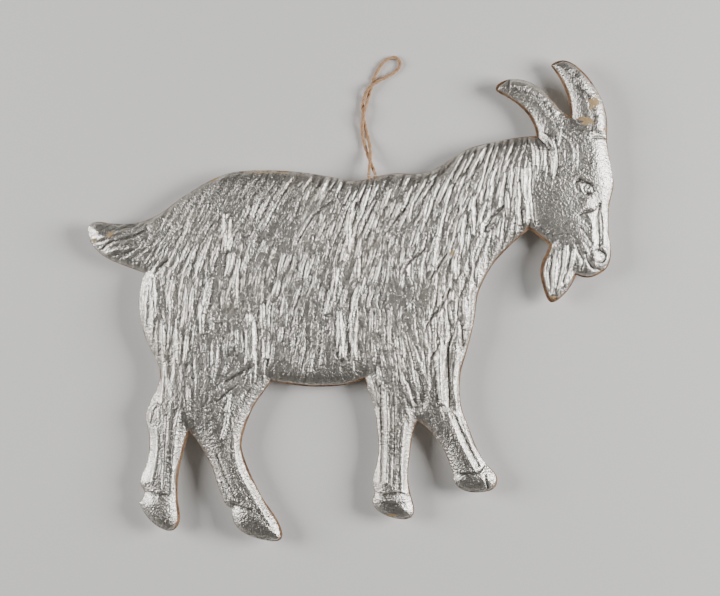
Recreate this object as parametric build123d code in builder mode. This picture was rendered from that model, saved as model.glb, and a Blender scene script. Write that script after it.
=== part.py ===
"""Embossed, silvered card goat with a twine hanging loop.

Two pressed-card halves, each faced with silver paper, are pasted together along their
rims, with the two ends of a twisted twine loop caught between them at the top of the back.

Frame: the goat lies flat on its rear relief. +X is the way it faces, +Y is up the goat
(hooves to horns), +Z is out of the front relief. The origin is under the middle of the
outline, at the height of the lowest relief. Millimetres.
"""
import math
import os

from build123d import *

# ---- driving dimensions -------------------------------------------------------------
SEAM_HEIGHT = 3.0  # the plane where the halves meet, above the lowest relief
RIM_THICKNESS = 0.7  # one half at its cut edge, silver paper included
PASTE_THICKNESS = 0.1  # the paste between the two rims
SKIN_THICKNESS = 0.12  # silver paper
SKIN_PASTE = 0.06  # the film that holds the silver paper to the card
WALL_THICKNESS = 0.85  # card, film and silver paper together over a hollow

OUTLINE_CHORDS = 2  # straight chords in each span of the outline
SWELL_CHORDS = 2

# the pressing, as (distance in from the foot of the swell, height above the seam plane)
BODY_SLOPE = [(0.0, RIM_THICKNESS), (1.0, 1.7), (2.0, 2.5), (3.0, SEAM_HEIGHT)]
LIMB_SLOPE = [(0.0, RIM_THICKNESS), (0.4, 1.25), (0.8, 1.6)]

TWINE_RADIUS = 0.35
GROOVE_RADIUS = 0.37
FIRST_FOOT_X = 3.70  # the two places where the twine leaves the seam
SECOND_FOOT_X = 4.90
PIVOT_Y = 25.45  # where the twine bends as it leaves the seam
GROOVE_LENGTH = 5.0
STUB_GAP = 0.6  # from the pivot line to the end of the fixed twine
KNOT_RADIUS = 1.1
KNOT_AT = (4.3, 12.0)
TAIL_BEND = 60.0
DAB_AT = (4.3, 17.0)
DAB_LENGTH = 2.0
DAB_WIDTH = 3.2
DAB_HEIGHT = 3.1
DAB_ROUNDING = 0.7

# ---- outline ------------------------------------------------------------------------
# Each run is a smooth curve. A run ends at a sharp corner, where the next one starts.
REAR_HORN = [
    (37.2, 32.9), (36.6, 35.1), (35.1, 37.6), (33.0, 39.6), (30.8, 41.0), (29.2, 41.9), (29.1, 42.6),
    (29.6, 43.3), (31.7, 44.2), (34.6, 44.0), (37.1, 42.9), (39.4, 41.0), (42.1, 38.0), (44.0, 36.7),
]
FRONT_HORN_INNER = [(44.0, 36.7), (43.8, 39.0), (43.05, 41.7), (41.9, 44.2), (40.1, 46.9)]
FRONT_HORN_AND_FACE = [
    (40.1, 46.9), (40.5, 47.4), (42.25, 48.0), (44.4, 47.4), (47.25, 44.9), (49.0, 42.4), (50.3, 39.9),
    (51.2, 36.2), (51.2, 32.1), (51.6, 29.0), (52.25, 25.5), (52.5, 23.0), (51.6, 18.7), (51.55, 13.5),
    (51.9, 11.3), (52.0, 9.3), (51.7, 7.7), (51.0, 6.4), (49.5, 5.3), (47.5, 4.65), (45.1, 5.2),
]
BEARD = [
    (45.1, 5.2), (44.1, 3.2), (43.1, 1.8), (41.4, 0.2), (40.0, -0.3), (39.2, 0.65), (38.5, 2.8),
    (37.95, 5.4), (38.3, 7.8), (39.1, 9.4), (39.75, 11.1),
]
JAW = [(39.75, 11.1), (38.6, 12.1), (35.7, 14.3)]
CHEST_AND_FORELEG = [
    (35.7, 14.3), (33.5, 12.6), (30.7, 9.9), (28.45, 7.35), (26.7, 4.4), (25.4, 1.3), (24.8, -3.0),
    (24.0, -7.0), (22.9, -11.0), (22.0, -14.2), (21.8, -17.8), (22.1, -21.3), (23.5, -25.2), (25.1, -29.3),
    (27.0, -32.55), (28.9, -34.6), (29.25, -36.1), (28.3, -37.7), (24.6, -38.3), (22.0, -37.6),
    (20.7, -36.2), (20.6, -35.1), (19.0, -30.6), (17.4, -27.8), (15.2, -25.4), (13.4, -24.1),
]
REAR_FORELEG = [
    (13.4, -24.1), (12.6, -25.6), (11.8, -30.6), (11.4, -35.1), (11.9, -38.6), (12.6, -41.4), (12.1, -43.3),
    (9.6, -43.6), (6.2, -42.5), (4.4, -40.5), (4.8, -38.4), (4.5, -36.2), (5.2, -32.8), (5.66, -29.9),
    (5.3, -25.2), (4.6, -20.8), (3.4, -17.8), (2.8, -15.6),
]
BELLY = [(2.8, -15.6), (0.1, -16.5), (-2.1, -16.95), (-7.5, -17.15), (-12.1, -16.7), (-15.9, -16.0)]
NEAR_HIND_LEG_FRONT = [
    (-15.9, -16.0), (-17.4, -18.1), (-19.6, -21.4), (-21.4, -26.1), (-21.9, -29.1), (-21.0, -32.4),
    (-19.4, -36.1), (-17.4, -39.9), (-15.1, -43.2), (-13.9, -45.8), (-13.9, -47.5), (-15.1, -48.05),
    (-19.0, -47.4), (-22.1, -45.85), (-23.4, -43.9), (-23.6, -41.5),
]
NEAR_HIND_LEG_BACK = [
    (-23.6, -41.5), (-24.8, -40.9), (-25.3, -40.0), (-26.4, -37.3), (-27.5, -33.8), (-29.0, -30.6),
    (-31.0, -27.5), (-32.3, -26.2),
]
FAR_HIND_LEG_FRONT = [
    (-32.3, -26.2), (-33.0, -28.3), (-34.2, -33.0), (-34.7, -36.7), (-34.6, -40.3), (-34.2, -43.2),
    (-34.8, -45.2), (-36.2, -46.0), (-38.9, -44.9), (-41.0, -42.7), (-42.2, -40.4),
]
FAR_HIND_LEG_BACK = [
    (-42.2, -40.4), (-41.1, -38.3), (-41.9, -36.9), (-42.0, -35.8), (-41.0, -33.4), (-40.3, -30.6),
    (-40.2, -27.1), (-40.75, -24.6), (-40.85, -22.8), (-40.1, -20.5), (-38.9, -18.1), (-38.1, -15.4),
]
RUMP = [
    (-38.1, -15.4), (-38.5, -12.6), (-39.7, -10.2), (-41.0, -7.3), (-42.0, -3.7), (-42.3, -0.6),
    (-41.9, 3.1), (-41.0, 5.5),
]
TAIL_AND_BACK = [
    (-41.0, 5.5), (-43.0, 6.2), (-47.0, 7.7), (-49.2, 8.8), (-50.8, 10.2), (-51.9, 11.7), (-52.4, 13.6),
    (-52.4, 14.8), (-51.3, 15.6), (-49.9, 15.7), (-47.6, 15.4), (-44.4, 15.3), (-41.5, 15.8),
    (-38.0, 17.4), (-35.0, 19.6), (-31.8, 21.8), (-27.7, 24.1), (-23.5, 25.6), (-18.0, 26.0),
    (-13.4, 25.9), (-8.9, 25.5), (-4.3, 24.75), (0.0, 23.95), (1.8, 23.9), (4.3, 24.45), (6.4, 25.1),
    (9.4, 25.4), (13.0, 25.3), (16.3, 26.0), (19.2, 27.7), (23.6, 30.3), (28.4, 31.6), (33.1, 32.5),
    (37.2, 32.9),
]
OUTLINE_RUNS = [
    REAR_HORN, FRONT_HORN_INNER, FRONT_HORN_AND_FACE, BEARD, JAW, CHEST_AND_FORELEG, REAR_FORELEG, BELLY,
    NEAR_HIND_LEG_FRONT, NEAR_HIND_LEG_BACK, FAR_HIND_LEG_FRONT, FAR_HIND_LEG_BACK, RUMP, TAIL_AND_BACK,
]

# ---- feet of the swells, each a smooth closed curve -----------------------------------
BODY = [
    (-41.0, -1.0), (-39.8, 8.0), (-35.5, 16.2), (-27.5, 22.3), (-17.0, 24.6), (-6.0, 23.6), (2.5, 22.5),
    (11.0, 23.8), (18.5, 25.6), (26.0, 29.4), (33.5, 31.0), (41.0, 33.5), (47.5, 34.2), (50.2, 29.0),
    (51.0, 21.5), (50.3, 12.0), (47.0, 7.2), (42.5, 8.5), (40.0, 13.6), (35.3, 16.0), (30.0, 11.6),
    (25.5, 5.0), (23.2, -4.0), (21.0, -13.0), (19.6, -20.5), (13.8, -21.8), (7.5, -21.5), (5.4, -15.5),
    (0.0, -14.8), (-8.0, -15.4), (-16.0, -14.8), (-20.2, -20.0), (-23.5, -25.5), (-30.0, -25.0),
    (-34.0, -24.0), (-38.8, -22.6), (-37.9, -18.5), (-36.6, -14.5), (-37.8, -10.5), (-39.8, -6.0),
]
LIMBS = {
    "front_foreleg": [
        (18.0, -25.4), (21.6, -24.4), (23.2, -28.0), (25.6, -32.5), (27.6, -35.2), (27.2, -36.6),
        (24.5, -36.9), (22.2, -35.8), (20.9, -31.8), (19.2, -28.0),
    ],
    "rear_foreleg": [
        (6.6, -24.0), (11.3, -24.2), (10.6, -30.5), (10.2, -35.5), (10.8, -39.0), (11.3, -41.8),
        (9.4, -42.4), (6.4, -41.3), (5.9, -39.6), (6.1, -37.0), (6.6, -32.5), (6.9, -29.0),
    ],
    "near_hind_leg": [
        (-28.6, -28.6), (-24.4, -27.6), (-23.2, -29.6), (-22.4, -32.8), (-20.8, -36.6), (-18.8, -40.4),
        (-16.4, -43.8), (-15.4, -46.2), (-18.5, -46.2), (-21.2, -44.8), (-22.3, -42.2), (-24.3, -39.2),
        (-25.4, -36.0), (-26.6, -32.0),
    ],
    "far_hind_leg": [
        (-38.8, -25.6), (-35.0, -26.0), (-34.4, -28.8), (-35.4, -33.2), (-36.0, -36.8), (-35.9, -40.4),
        (-35.7, -43.2), (-37.2, -44.2), (-39.6, -42.4), (-40.6, -40.2), (-40.2, -36.4), (-39.7, -33.0),
        (-39.1, -30.0),
    ],
    "tail": [
        (-42.4, 8.2), (-40.4, 12.8), (-42.5, 14.2), (-46.0, 14.2), (-50.2, 14.2), (-51.0, 12.8),
        (-49.2, 10.5), (-46.0, 8.8),
    ],
    "rear_horn": [
        (38.0, 35.2), (41.0, 35.4), (42.4, 36.6), (40.6, 38.6), (38.4, 41.0), (36.2, 42.6), (33.8, 43.3),
        (32.2, 43.1), (32.0, 42.0), (33.5, 40.8), (35.8, 38.8), (37.2, 37.2),
    ],
    "front_horn": [
        (45.4, 36.4), (48.8, 36.0), (50.2, 36.6), (49.5, 39.6), (48.1, 42.2), (46.3, 44.7), (44.4, 46.4),
        (42.9, 46.7), (42.5, 45.6), (43.6, 43.6), (44.6, 41.4), (45.2, 39.0),
    ],
    "beard": [
        (39.6, 7.6), (41.4, 7.0), (43.4, 5.6), (42.6, 3.6), (41.4, 1.9), (40.4, 1.7), (39.6, 3.2),
        (39.2, 5.4),
    ],
}

# ---- route of the free twine, from one foot of the loop round to the other -----------
LOOP_POINTS = [
    (3.70, 25.45, 3.00), (3.85, 27.20, 2.60), (4.00, 28.90, 1.95), (3.95, 30.60, 1.20), (3.62, 32.20, 0.62),
    (3.22, 33.80, 0.40), (2.88, 35.30, 0.40), (2.62, 36.70, 0.40), (2.42, 38.10, 0.45), (2.45, 39.60, 0.60),
    (2.75, 40.90, 0.80), (3.20, 42.00, 1.15), (3.85, 42.85, 1.25), (4.75, 43.60, 0.95), (5.95, 44.30, 0.60),
    (7.30, 45.00, 0.42), (8.60, 45.75, 0.40), (9.60, 46.55, 0.40), (10.05, 47.55, 0.40), (9.75, 48.55, 0.40),
    (8.90, 49.00, 0.40), (7.80, 48.75, 0.40), (6.75, 48.05, 0.40), (5.85, 47.00, 0.40), (5.15, 45.75, 0.40),
    (4.65, 44.50, 0.38), (4.25, 43.30, 0.38), (3.90, 42.00, 0.40), (3.50, 40.60, 0.55), (3.10, 39.20, 0.95),
    (2.78, 37.90, 1.25), (2.48, 36.70, 1.25), (2.32, 35.30, 1.00), (2.32, 33.90, 0.65), (2.55, 32.40, 0.60),
    (2.95, 30.90, 0.65), (3.40, 29.40, 0.90), (3.85, 28.15, 1.30), (4.45, 26.70, 2.10), (4.90, 25.45, 3.00),
]


def direction(start, end):
    """Unit vector from one point to another."""
    length = math.hypot(end[0] - start[0], end[1] - start[1])
    return (end[0] - start[0]) / length, (end[1] - start[1]) / length


def facets(points, chords, closed=False):
    """Points along a smooth curve through the given ones, this many for each span, without its end."""
    if closed:
        points = points + points[:1]
    last = len(points) - 1
    spans = [direction(points[i], points[i + 1]) for i in range(last)]
    headings = [direction(points[i - 1], points[i + 1]) for i in range(1, last)]
    if closed:
        first_heading = last_heading = direction(points[-2], points[1])
    else:
        first_heading = mirrored_heading(spans[0], headings[0])
        last_heading = mirrored_heading(spans[-1], headings[-1])
    headings = [first_heading, *headings, last_heading]
    found = []
    for i in range(last):
        (ax, ay), (dx, dy) = points[i], points[i + 1]
        handle = math.hypot(dx - ax, dy - ay) / 3
        bx, by = ax + handle * headings[i][0], ay + handle * headings[i][1]
        cx, cy = dx - handle * headings[i + 1][0], dy - handle * headings[i + 1][1]
        for step in range(chords):
            t = step / chords
            wa, wb, wc, wd = (1 - t) ** 3, 3 * t * (1 - t) ** 2, 3 * t * t * (1 - t), t**3
            found.append((wa * ax + wb * bx + wc * cx + wd * dx, wa * ay + wb * by + wc * cy + wd * dy))
    return found


def mirrored_heading(span, heading):
    """The heading at a curve's end that makes its last span an arc."""
    across = 2 * (span[0] * heading[0] + span[1] * heading[1])
    return across * span[0] - heading[0], across * span[1] - heading[1]


OUTLINE = [point for run in OUTLINE_RUNS for point in facets(run, OUTLINE_CHORDS)]
with BuildSketch() as goat_outline:
    with BuildLine():
        Polyline(*OUTLINE, close=True)
    make_face()


def inward(points, distance):
    """The points of a clockwise or anticlockwise closed curve, each moved in by this much."""
    area = sum(ax * by - bx * ay for (ax, ay), (bx, by) in zip(points, points[1:] + points[:1]))
    side = math.copysign(distance, area)
    moved = []
    for (ax, ay), (x, y), (bx, by) in zip(points[-1:] + points[:-1], points, points[1:] + points[:1]):
        length = math.hypot(bx - ax, by - ay)
        moved.append((x - side * (by - ay) / length, y + side * (bx - ax) / length))
    return moved


def swell(foot, slope, drop):
    """One pressed swell over the front rim as a solid, lowered by drop."""
    with BuildPart() as solid:
        for distance, level in slope:
            with BuildSketch(Plane.XY.offset(SEAM_HEIGHT + level - drop)):
                with BuildLine():
                    Polyline(*facets(inward(foot, distance), SWELL_CHORDS, closed=True), close=True)
                make_face()
        loft(ruled=True, clean=False)
    return solid.part


def swells(drop):
    """Every pressed swell of the front half, lowered by drop."""
    return [swell(BODY, BODY_SLOPE, drop)] + [swell(foot, LIMB_SLOPE, drop) for foot in LIMBS.values()]


rim_top = SEAM_HEIGHT + PASTE_THICKNESS / 2  # where the front card's rim starts
seam_plane = Plane.XY.offset(SEAM_HEIGHT)


def pressing(drop):
    """The front half as if it were solid, from its rim's underside to its face lowered by drop."""
    with BuildPart() as solid:
        with BuildSketch(Plane.XY.offset(rim_top)):
            add(goat_outline.face())
        extrude(amount=SEAM_HEIGHT + RIM_THICKNESS - drop - rim_top, clean=False)
        add(swells(drop), clean=False)
    return solid.part


# ---- twine grooves pressed into both rims --------------------------------------------
with BuildPart() as grooves:
    with BuildSketch(Plane.XZ.offset(-PIVOT_Y)):
        with Locations((FIRST_FOOT_X, SEAM_HEIGHT), (SECOND_FOOT_X, SEAM_HEIGHT)):
            Circle(GROOVE_RADIUS)
    extrude(amount=GROOVE_LENGTH)

# ---- front half: pressed card and its silver paper ------------------------------------
full_front = pressing(0)
under_silver = pressing(SKIN_THICKNESS)
under_paste = pressing(SKIN_THICKNESS + SKIN_PASTE)
front_hollows = swells(WALL_THICKNESS)
rear_hollows = [mirror(hollow, about=seam_plane) for hollow in front_hollows]

with BuildPart() as front_card:
    add(under_paste, clean=False)
    add(front_hollows, clean=False, mode=Mode.SUBTRACT)
    add(grooves.part, clean=False, mode=Mode.SUBTRACT)

with BuildPart() as front_skin:
    add(full_front, clean=False)
    add(under_silver, clean=False, mode=Mode.SUBTRACT)

# ---- rear half: the same pressing turned over -----------------------------------------
rear_card_shape = mirror(front_card.part, about=seam_plane)
rear_skin_shape = mirror(front_skin.part, about=seam_plane)

with BuildPart() as back_card:
    add(rear_card_shape, clean=False)

with BuildPart() as back_skin:
    add(rear_skin_shape, clean=False)

# ---- paste between the rims, open over the hollows ------------------------------------
with BuildPart() as rim_paste:
    with BuildSketch(Plane.XY.offset(SEAM_HEIGHT - PASTE_THICKNESS / 2)):
        add(goat_outline.face())
    extrude(amount=PASTE_THICKNESS, clean=False)
    add(front_hollows + rear_hollows, clean=False, mode=Mode.SUBTRACT)
    add(grooves.part, clean=False, mode=Mode.SUBTRACT)

# ---- fixed ends of the twine, inside the seam -----------------------------------------
with BuildPart() as twine_tails:
    for foot_x, end_x in ((FIRST_FOOT_X, KNOT_AT[0] - 0.38), (SECOND_FOOT_X, KNOT_AT[0] + 0.38)):
        with BuildLine() as tail_line:
            FilletPolyline(
                (foot_x, PIVOT_Y - STUB_GAP, SEAM_HEIGHT),
                (foot_x, DAB_AT[1] + DAB_LENGTH, SEAM_HEIGHT),
                (end_x, KNOT_AT[1] + KNOT_RADIUS + 0.1, SEAM_HEIGHT),
                radius=TAIL_BEND,
            )
        with BuildSketch(tail_line.line ^ 0):
            Circle(TWINE_RADIUS)
        sweep(path=tail_line.line)

with BuildPart() as twine_knot:
    with Locations((*KNOT_AT, SEAM_HEIGHT)):
        Sphere(KNOT_RADIUS)

with BuildPart() as twine_dab:  # paste that holds both tails down to the rear card
    with BuildSketch(Plane.XZ.offset(-DAB_AT[1] - DAB_LENGTH / 2)):
        with Locations((DAB_AT[0], WALL_THICKNESS + DAB_HEIGHT / 2)):
            Rectangle(DAB_WIDTH, DAB_HEIGHT)
    extrude(amount=DAB_LENGTH)
    fillet(twine_dab.faces().sort_by(Axis.Z)[-1].edges(), DAB_ROUNDING)
    add(twine_tails.part, mode=Mode.SUBTRACT)

# ---- free loop of twine ---------------------------------------------------------------
loop_vectors = [Vector(*point) for point in LOOP_POINTS]
loop_runs = [after - before for before, after in zip(loop_vectors, loop_vectors[1:])]
loop_radii = [
    0.45 * min(before.length, after.length) / math.tan(math.radians(before.get_angle(after) / 2))
    for before, after in zip(loop_runs, loop_runs[1:])
]
with BuildPart() as hanging_loop:
    with BuildLine() as loop_line:
        FilletPolyline(*LOOP_POINTS, radius=loop_radii)
    with BuildSketch(loop_line.line ^ 0):
        Circle(TWINE_RADIUS)
    sweep(path=loop_line.line)
    with Locations(LOOP_POINTS[0], LOOP_POINTS[-1]):
        Sphere(TWINE_RADIUS)
print("arc radii of the loop:", " ".join(f"{radius:.1f}" for radius in loop_radii))
print(f"length of the loop: {sum(edge.length for edge in loop_line.edges()):.1f}")

# ---- files ----------------------------------------------------------------------------
PIECES = {
    "front_skin": front_skin,
    "front_card": front_card,
    "rim_paste": rim_paste,
    "back_card": back_card,
    "back_skin": back_skin,
    "twine_tails": twine_tails,
    "twine_knot": twine_knot,
    "twine_dab": twine_dab,
    "hanging_loop": hanging_loop,
}
os.makedirs("parts", exist_ok=True)
for name, piece in PIECES.items():
    piece.part.label = name
    export_step(piece.part, f"parts/{name}.step")
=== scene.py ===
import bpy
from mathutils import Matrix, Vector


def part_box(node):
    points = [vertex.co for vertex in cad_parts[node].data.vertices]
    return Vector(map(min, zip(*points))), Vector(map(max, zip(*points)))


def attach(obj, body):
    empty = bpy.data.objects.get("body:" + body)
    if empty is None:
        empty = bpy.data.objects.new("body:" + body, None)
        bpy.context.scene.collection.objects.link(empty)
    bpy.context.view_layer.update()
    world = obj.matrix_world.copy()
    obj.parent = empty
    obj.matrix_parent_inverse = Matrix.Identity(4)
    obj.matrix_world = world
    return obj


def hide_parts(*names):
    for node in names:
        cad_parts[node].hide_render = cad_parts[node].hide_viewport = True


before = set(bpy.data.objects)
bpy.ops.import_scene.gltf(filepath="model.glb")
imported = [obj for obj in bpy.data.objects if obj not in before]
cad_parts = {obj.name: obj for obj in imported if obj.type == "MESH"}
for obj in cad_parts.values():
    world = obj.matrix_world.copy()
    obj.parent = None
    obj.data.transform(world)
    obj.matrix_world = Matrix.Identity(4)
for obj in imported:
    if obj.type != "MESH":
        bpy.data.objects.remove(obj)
"""Looks of an embossed goat: two pressed-card halves faced with silver paper, and a twine loop.

Lengths in the classes are millimetres in the CAD frame; meshes are written in metres. The cut
edge is read from the CAD's silver paper, and the embossing is pressed into a height map that
both halves share in shape, each with fur of its own.
"""
import logging
import math
from dataclasses import dataclass, field
from enum import Enum

import bmesh
import bpy
import numpy as np
from mathutils import Vector, kdtree
from mathutils.geometry import delaunay_2d_cdt

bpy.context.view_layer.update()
MM = 0.001
SEAM = 3.0  # height of the plane between the halves
WELD = 1e-6  # points of the CAD mesh that are closer than this, in metres, are one
LEDGE_SALT, EDGE_SALT, RIM_SALT = 5, 9, 3  # added to a half's seed, so that its waves differ
PASTE_SEED, FIBRE_SEED = 31, 77

Point2 = tuple[float, float]
Point3 = tuple[float, float, float]
Color = tuple[float, float, float]
Faces = list[tuple[int, ...]]
Surface = tuple[np.ndarray, np.ndarray, np.ndarray]  # points within, heights on the border and within

log = logging.getLogger("goat")


class Side(Enum):
    """Which half of the ornament: the sign of its outward direction along Z."""

    FRONT = 1
    BACK = -1


# ---------------------------------------------------------------------------------------
# Embossed features, each placed on the goat
# ---------------------------------------------------------------------------------------
@dataclass(frozen=True)
class Ridge:
    """A pressed line: a raised ridge, or a crease where its rise is negative."""

    points: tuple[Point2, ...]
    width: float
    rise: float


@dataclass(frozen=True)
class Swell:
    """A broad oval rise or hollow of the relief."""

    centre: Point2
    half_length: float
    half_width: float
    lean: float
    rise: float


BODY_SWELLS = (
    Swell((-29.0, 3.0), 17.0, 9.0, 82.0, 0.34),  # haunch
    Swell((-30.0, -14.0), 10.0, 6.0, 70.0, 0.24),  # thigh
    Swell((-8.0, 8.0), 15.0, 8.0, 5.0, 0.14),  # barrel
    Swell((13.5, 4.0), 16.0, 6.0, 80.0, 0.34),  # shoulder
    Swell((12.5, -13.0), 8.0, 4.0, 85.0, 0.24),  # upper foreleg
    Swell((24.5, 19.0), 13.0, 5.5, 50.0, 0.22),  # neck
    Swell((-18.0, -6.0), 11.0, 2.4, 84.0, -0.34),  # flank hollow before the thigh
    Swell((2.6, 12.0), 11.0, 2.2, 80.0, -0.24),  # hollow behind the shoulder
    Swell((19.5, -14.0), 8.0, 0.9, 91.0, -0.50),  # groove between the forelegs
    Swell((13.6, -21.0), 2.2, 1.2, 60.0, -0.60),  # elbow pit
    Swell((36.0, 20.5), 7.5, 0.7, 88.0, -0.40),  # where the neck's fur meets the face
    Swell((38.4, 29.0), 4.4, 2.5, 80.0, 0.42),  # ear
    Swell((41.5, 19.0), 6.0, 4.0, 70.0, 0.18),  # cheek
    Swell((46.8, 19.4), 1.5, 1.1, 60.0, 0.24),  # under the eye
    Swell((47.1, 22.2), 1.15, 0.80, -25.0, -0.18),  # eye socket
    Swell((47.4, 22.1), 0.50, 0.42, 0.0, 0.36),  # eyeball
    Swell((48.5, 8.6), 1.0, 0.9, 20.0, 0.36),  # muzzle
    Swell((45.4, 6.9), 1.0, 0.5, 80.0, 0.36),  # chin
    Swell((50.0, 8.5), 0.5, 0.4, 0.0, -0.30),  # nostril
    Swell((49.0, 27.5), 5.0, 2.0, 88.0, 0.26),  # forehead
    Swell((49.4, 14.8), 4.6, 0.7, 92.0, -0.34),  # beside the bridge of the nose
)

FACE_RIDGES = (
    # eye: lids, corner, lashes, and the fold below
    Ridge(((44.8, 23.6), (45.4, 24.0), (46.1, 23.8)), 0.30, -0.46),
    Ridge(((46.1, 23.7), (47.2, 23.3), (48.1, 22.8), (48.5, 21.9)), 0.24, -0.42),
    Ridge(((46.5, 22.7), (46.6, 21.9), (47.2, 21.3), (47.9, 21.3)), 0.17, -0.30),
    Ridge(((47.3, 22.7), (47.7, 22.0)), 0.16, -0.30),
    Ridge(((44.6, 22.9), (45.5, 21.8), (46.6, 21.1), (47.6, 20.9)), 0.17, -0.16),
    Ridge(((44.8, 24.7), (46.2, 24.8), (47.6, 24.2)), 0.34, 0.10),
    Ridge(((45.5, 22.9), (46.1, 22.1)), 0.30, 0.24),
    Ridge(((49.7, 19.4), (48.7, 18.2), (47.0, 17.8), (45.5, 17.0)), 0.24, -0.32),
    # groove beside the bridge of the nose, and its bright crest
    Ridge(((49.9, 19.2), (49.3, 17.4), (49.3, 15.0), (49.6, 12.6), (49.5, 10.6)), 0.28, -0.24),
    Ridge(((49.9, 17.4), (50.2, 14.4), (50.1, 11.2)), 0.20, -0.22),
    Ridge(((46.0, 16.8), (47.4, 15.2), (48.6, 13.6)), 0.20, -0.09),
    Ridge(((47.4, 17.0), (48.2, 15.0), (48.2, 12.4)), 0.50, 0.14),
    Ridge(((45.6, 14.6), (47.0, 13.0), (48.2, 10.9)), 0.24, -0.10),
    # nostril and mouth
    Ridge(((48.8, 10.2), (50.1, 9.6), (50.9, 8.8), (50.5, 8.0), (49.2, 7.6)), 0.22, -0.38),
    Ridge(((49.3, 10.9), (50.6, 10.4), (51.2, 9.2), (50.8, 7.6), (49.8, 6.9)), 0.26, 0.22),
    Ridge(((46.9, 9.4), (47.3, 7.7), (48.3, 6.4), (49.8, 6.2)), 0.22, -0.34),
    Ridge(((45.9, 11.6), (46.8, 10.2), (47.6, 8.6)), 0.30, 0.24),
    Ridge(((44.9, 11.0), (45.6, 9.4), (46.4, 7.8), (46.0, 6.2)), 0.26, -0.28),
    # between the neck's fur and the cheek, and the long bright lock before it
    Ridge(((36.1, 26.6), (36.0, 22.0), (36.4, 18.0), (36.9, 15.2)), 0.26, -0.30),
    Ridge(((34.5, 26.0), (34.6, 20.0), (35.0, 15.4)), 0.60, 0.34),
    Ridge(((33.3, 23.4), (33.2, 19.4), (33.5, 15.2)), 0.42, 0.26),
    # ear
    Ridge(((36.1, 32.2), (36.7, 29.8), (36.8, 27.0)), 0.50, 0.36),
    Ridge(((38.0, 30.8), (38.5, 28.6), (38.3, 26.0)), 0.28, 0.22),
    Ridge(((39.5, 29.8), (40.4, 27.6), (40.2, 25.2)), 0.34, 0.36),
    Ridge(((38.6, 33.2), (40.0, 31.8), (40.7, 30.2)), 0.30, 0.34),
    Ridge(((37.6, 32.4), (39.0, 30.8), (39.6, 29.2)), 0.24, -0.28),
    Ridge(((41.0, 30.8), (41.3, 28.0), (40.9, 25.0)), 0.24, -0.28),
    Ridge(((37.6, 29.8), (37.7, 27.4), (37.4, 25.2)), 0.20, -0.26),
    Ridge(((39.0, 28.6), (39.3, 26.6), (39.1, 25.0)), 0.18, -0.24),
    # forehead hair and the front horn's foot
    Ridge(((40.4, 34.6), (41.8, 33.2), (43.6, 31.8)), 0.20, 0.18),
    Ridge(((41.4, 35.0), (43.0, 33.6), (44.8, 32.4)), 0.20, 0.18),
    Ridge(((42.8, 35.0), (44.2, 33.8), (45.8, 32.8)), 0.20, 0.16),
    Ridge(((43.6, 31.6), (44.2, 29.6), (44.2, 27.4)), 0.20, 0.14),
    Ridge(((45.4, 31.0), (45.6, 28.6), (45.4, 26.4)), 0.22, -0.16),
    Ridge(((42.4, 30.0), (42.6, 27.8)), 0.18, 0.14),
    Ridge(((48.0, 32.4), (49.6, 32.6), (51.1, 32.2)), 0.26, -0.36),
    Ridge(((47.4, 33.4), (49.2, 33.8), (51.0, 33.4)), 0.30, 0.20),
)

BEARD_RIDGES = tuple(
    Ridge(points, 0.32, rise)
    for points, rise in (
        (((40.2, 10.2), (39.0, 6.6), (39.4, 2.2)), 0.30),
        (((41.2, 9.8), (40.8, 6.4), (40.4, 1.4)), 0.22),
        (((43.1, 10.8), (42.8, 7.4), (42.0, 4.0), (41.2, 1.4)), 0.34),
        (((44.6, 10.2), (44.2, 7.8), (43.2, 5.0), (42.2, 2.8)), 0.34),
        (((44.9, 6.6), (44.0, 4.6), (42.9, 3.0)), 0.28),
        (((42.2, 10.0), (41.9, 6.4), (41.2, 3.0)), -0.26),
        (((43.8, 9.6), (43.4, 6.8), (42.4, 3.8)), -0.28),
        (((40.4, 8.6), (39.9, 5.2), (40.0, 2.4)), -0.20),
    )
)

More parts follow.
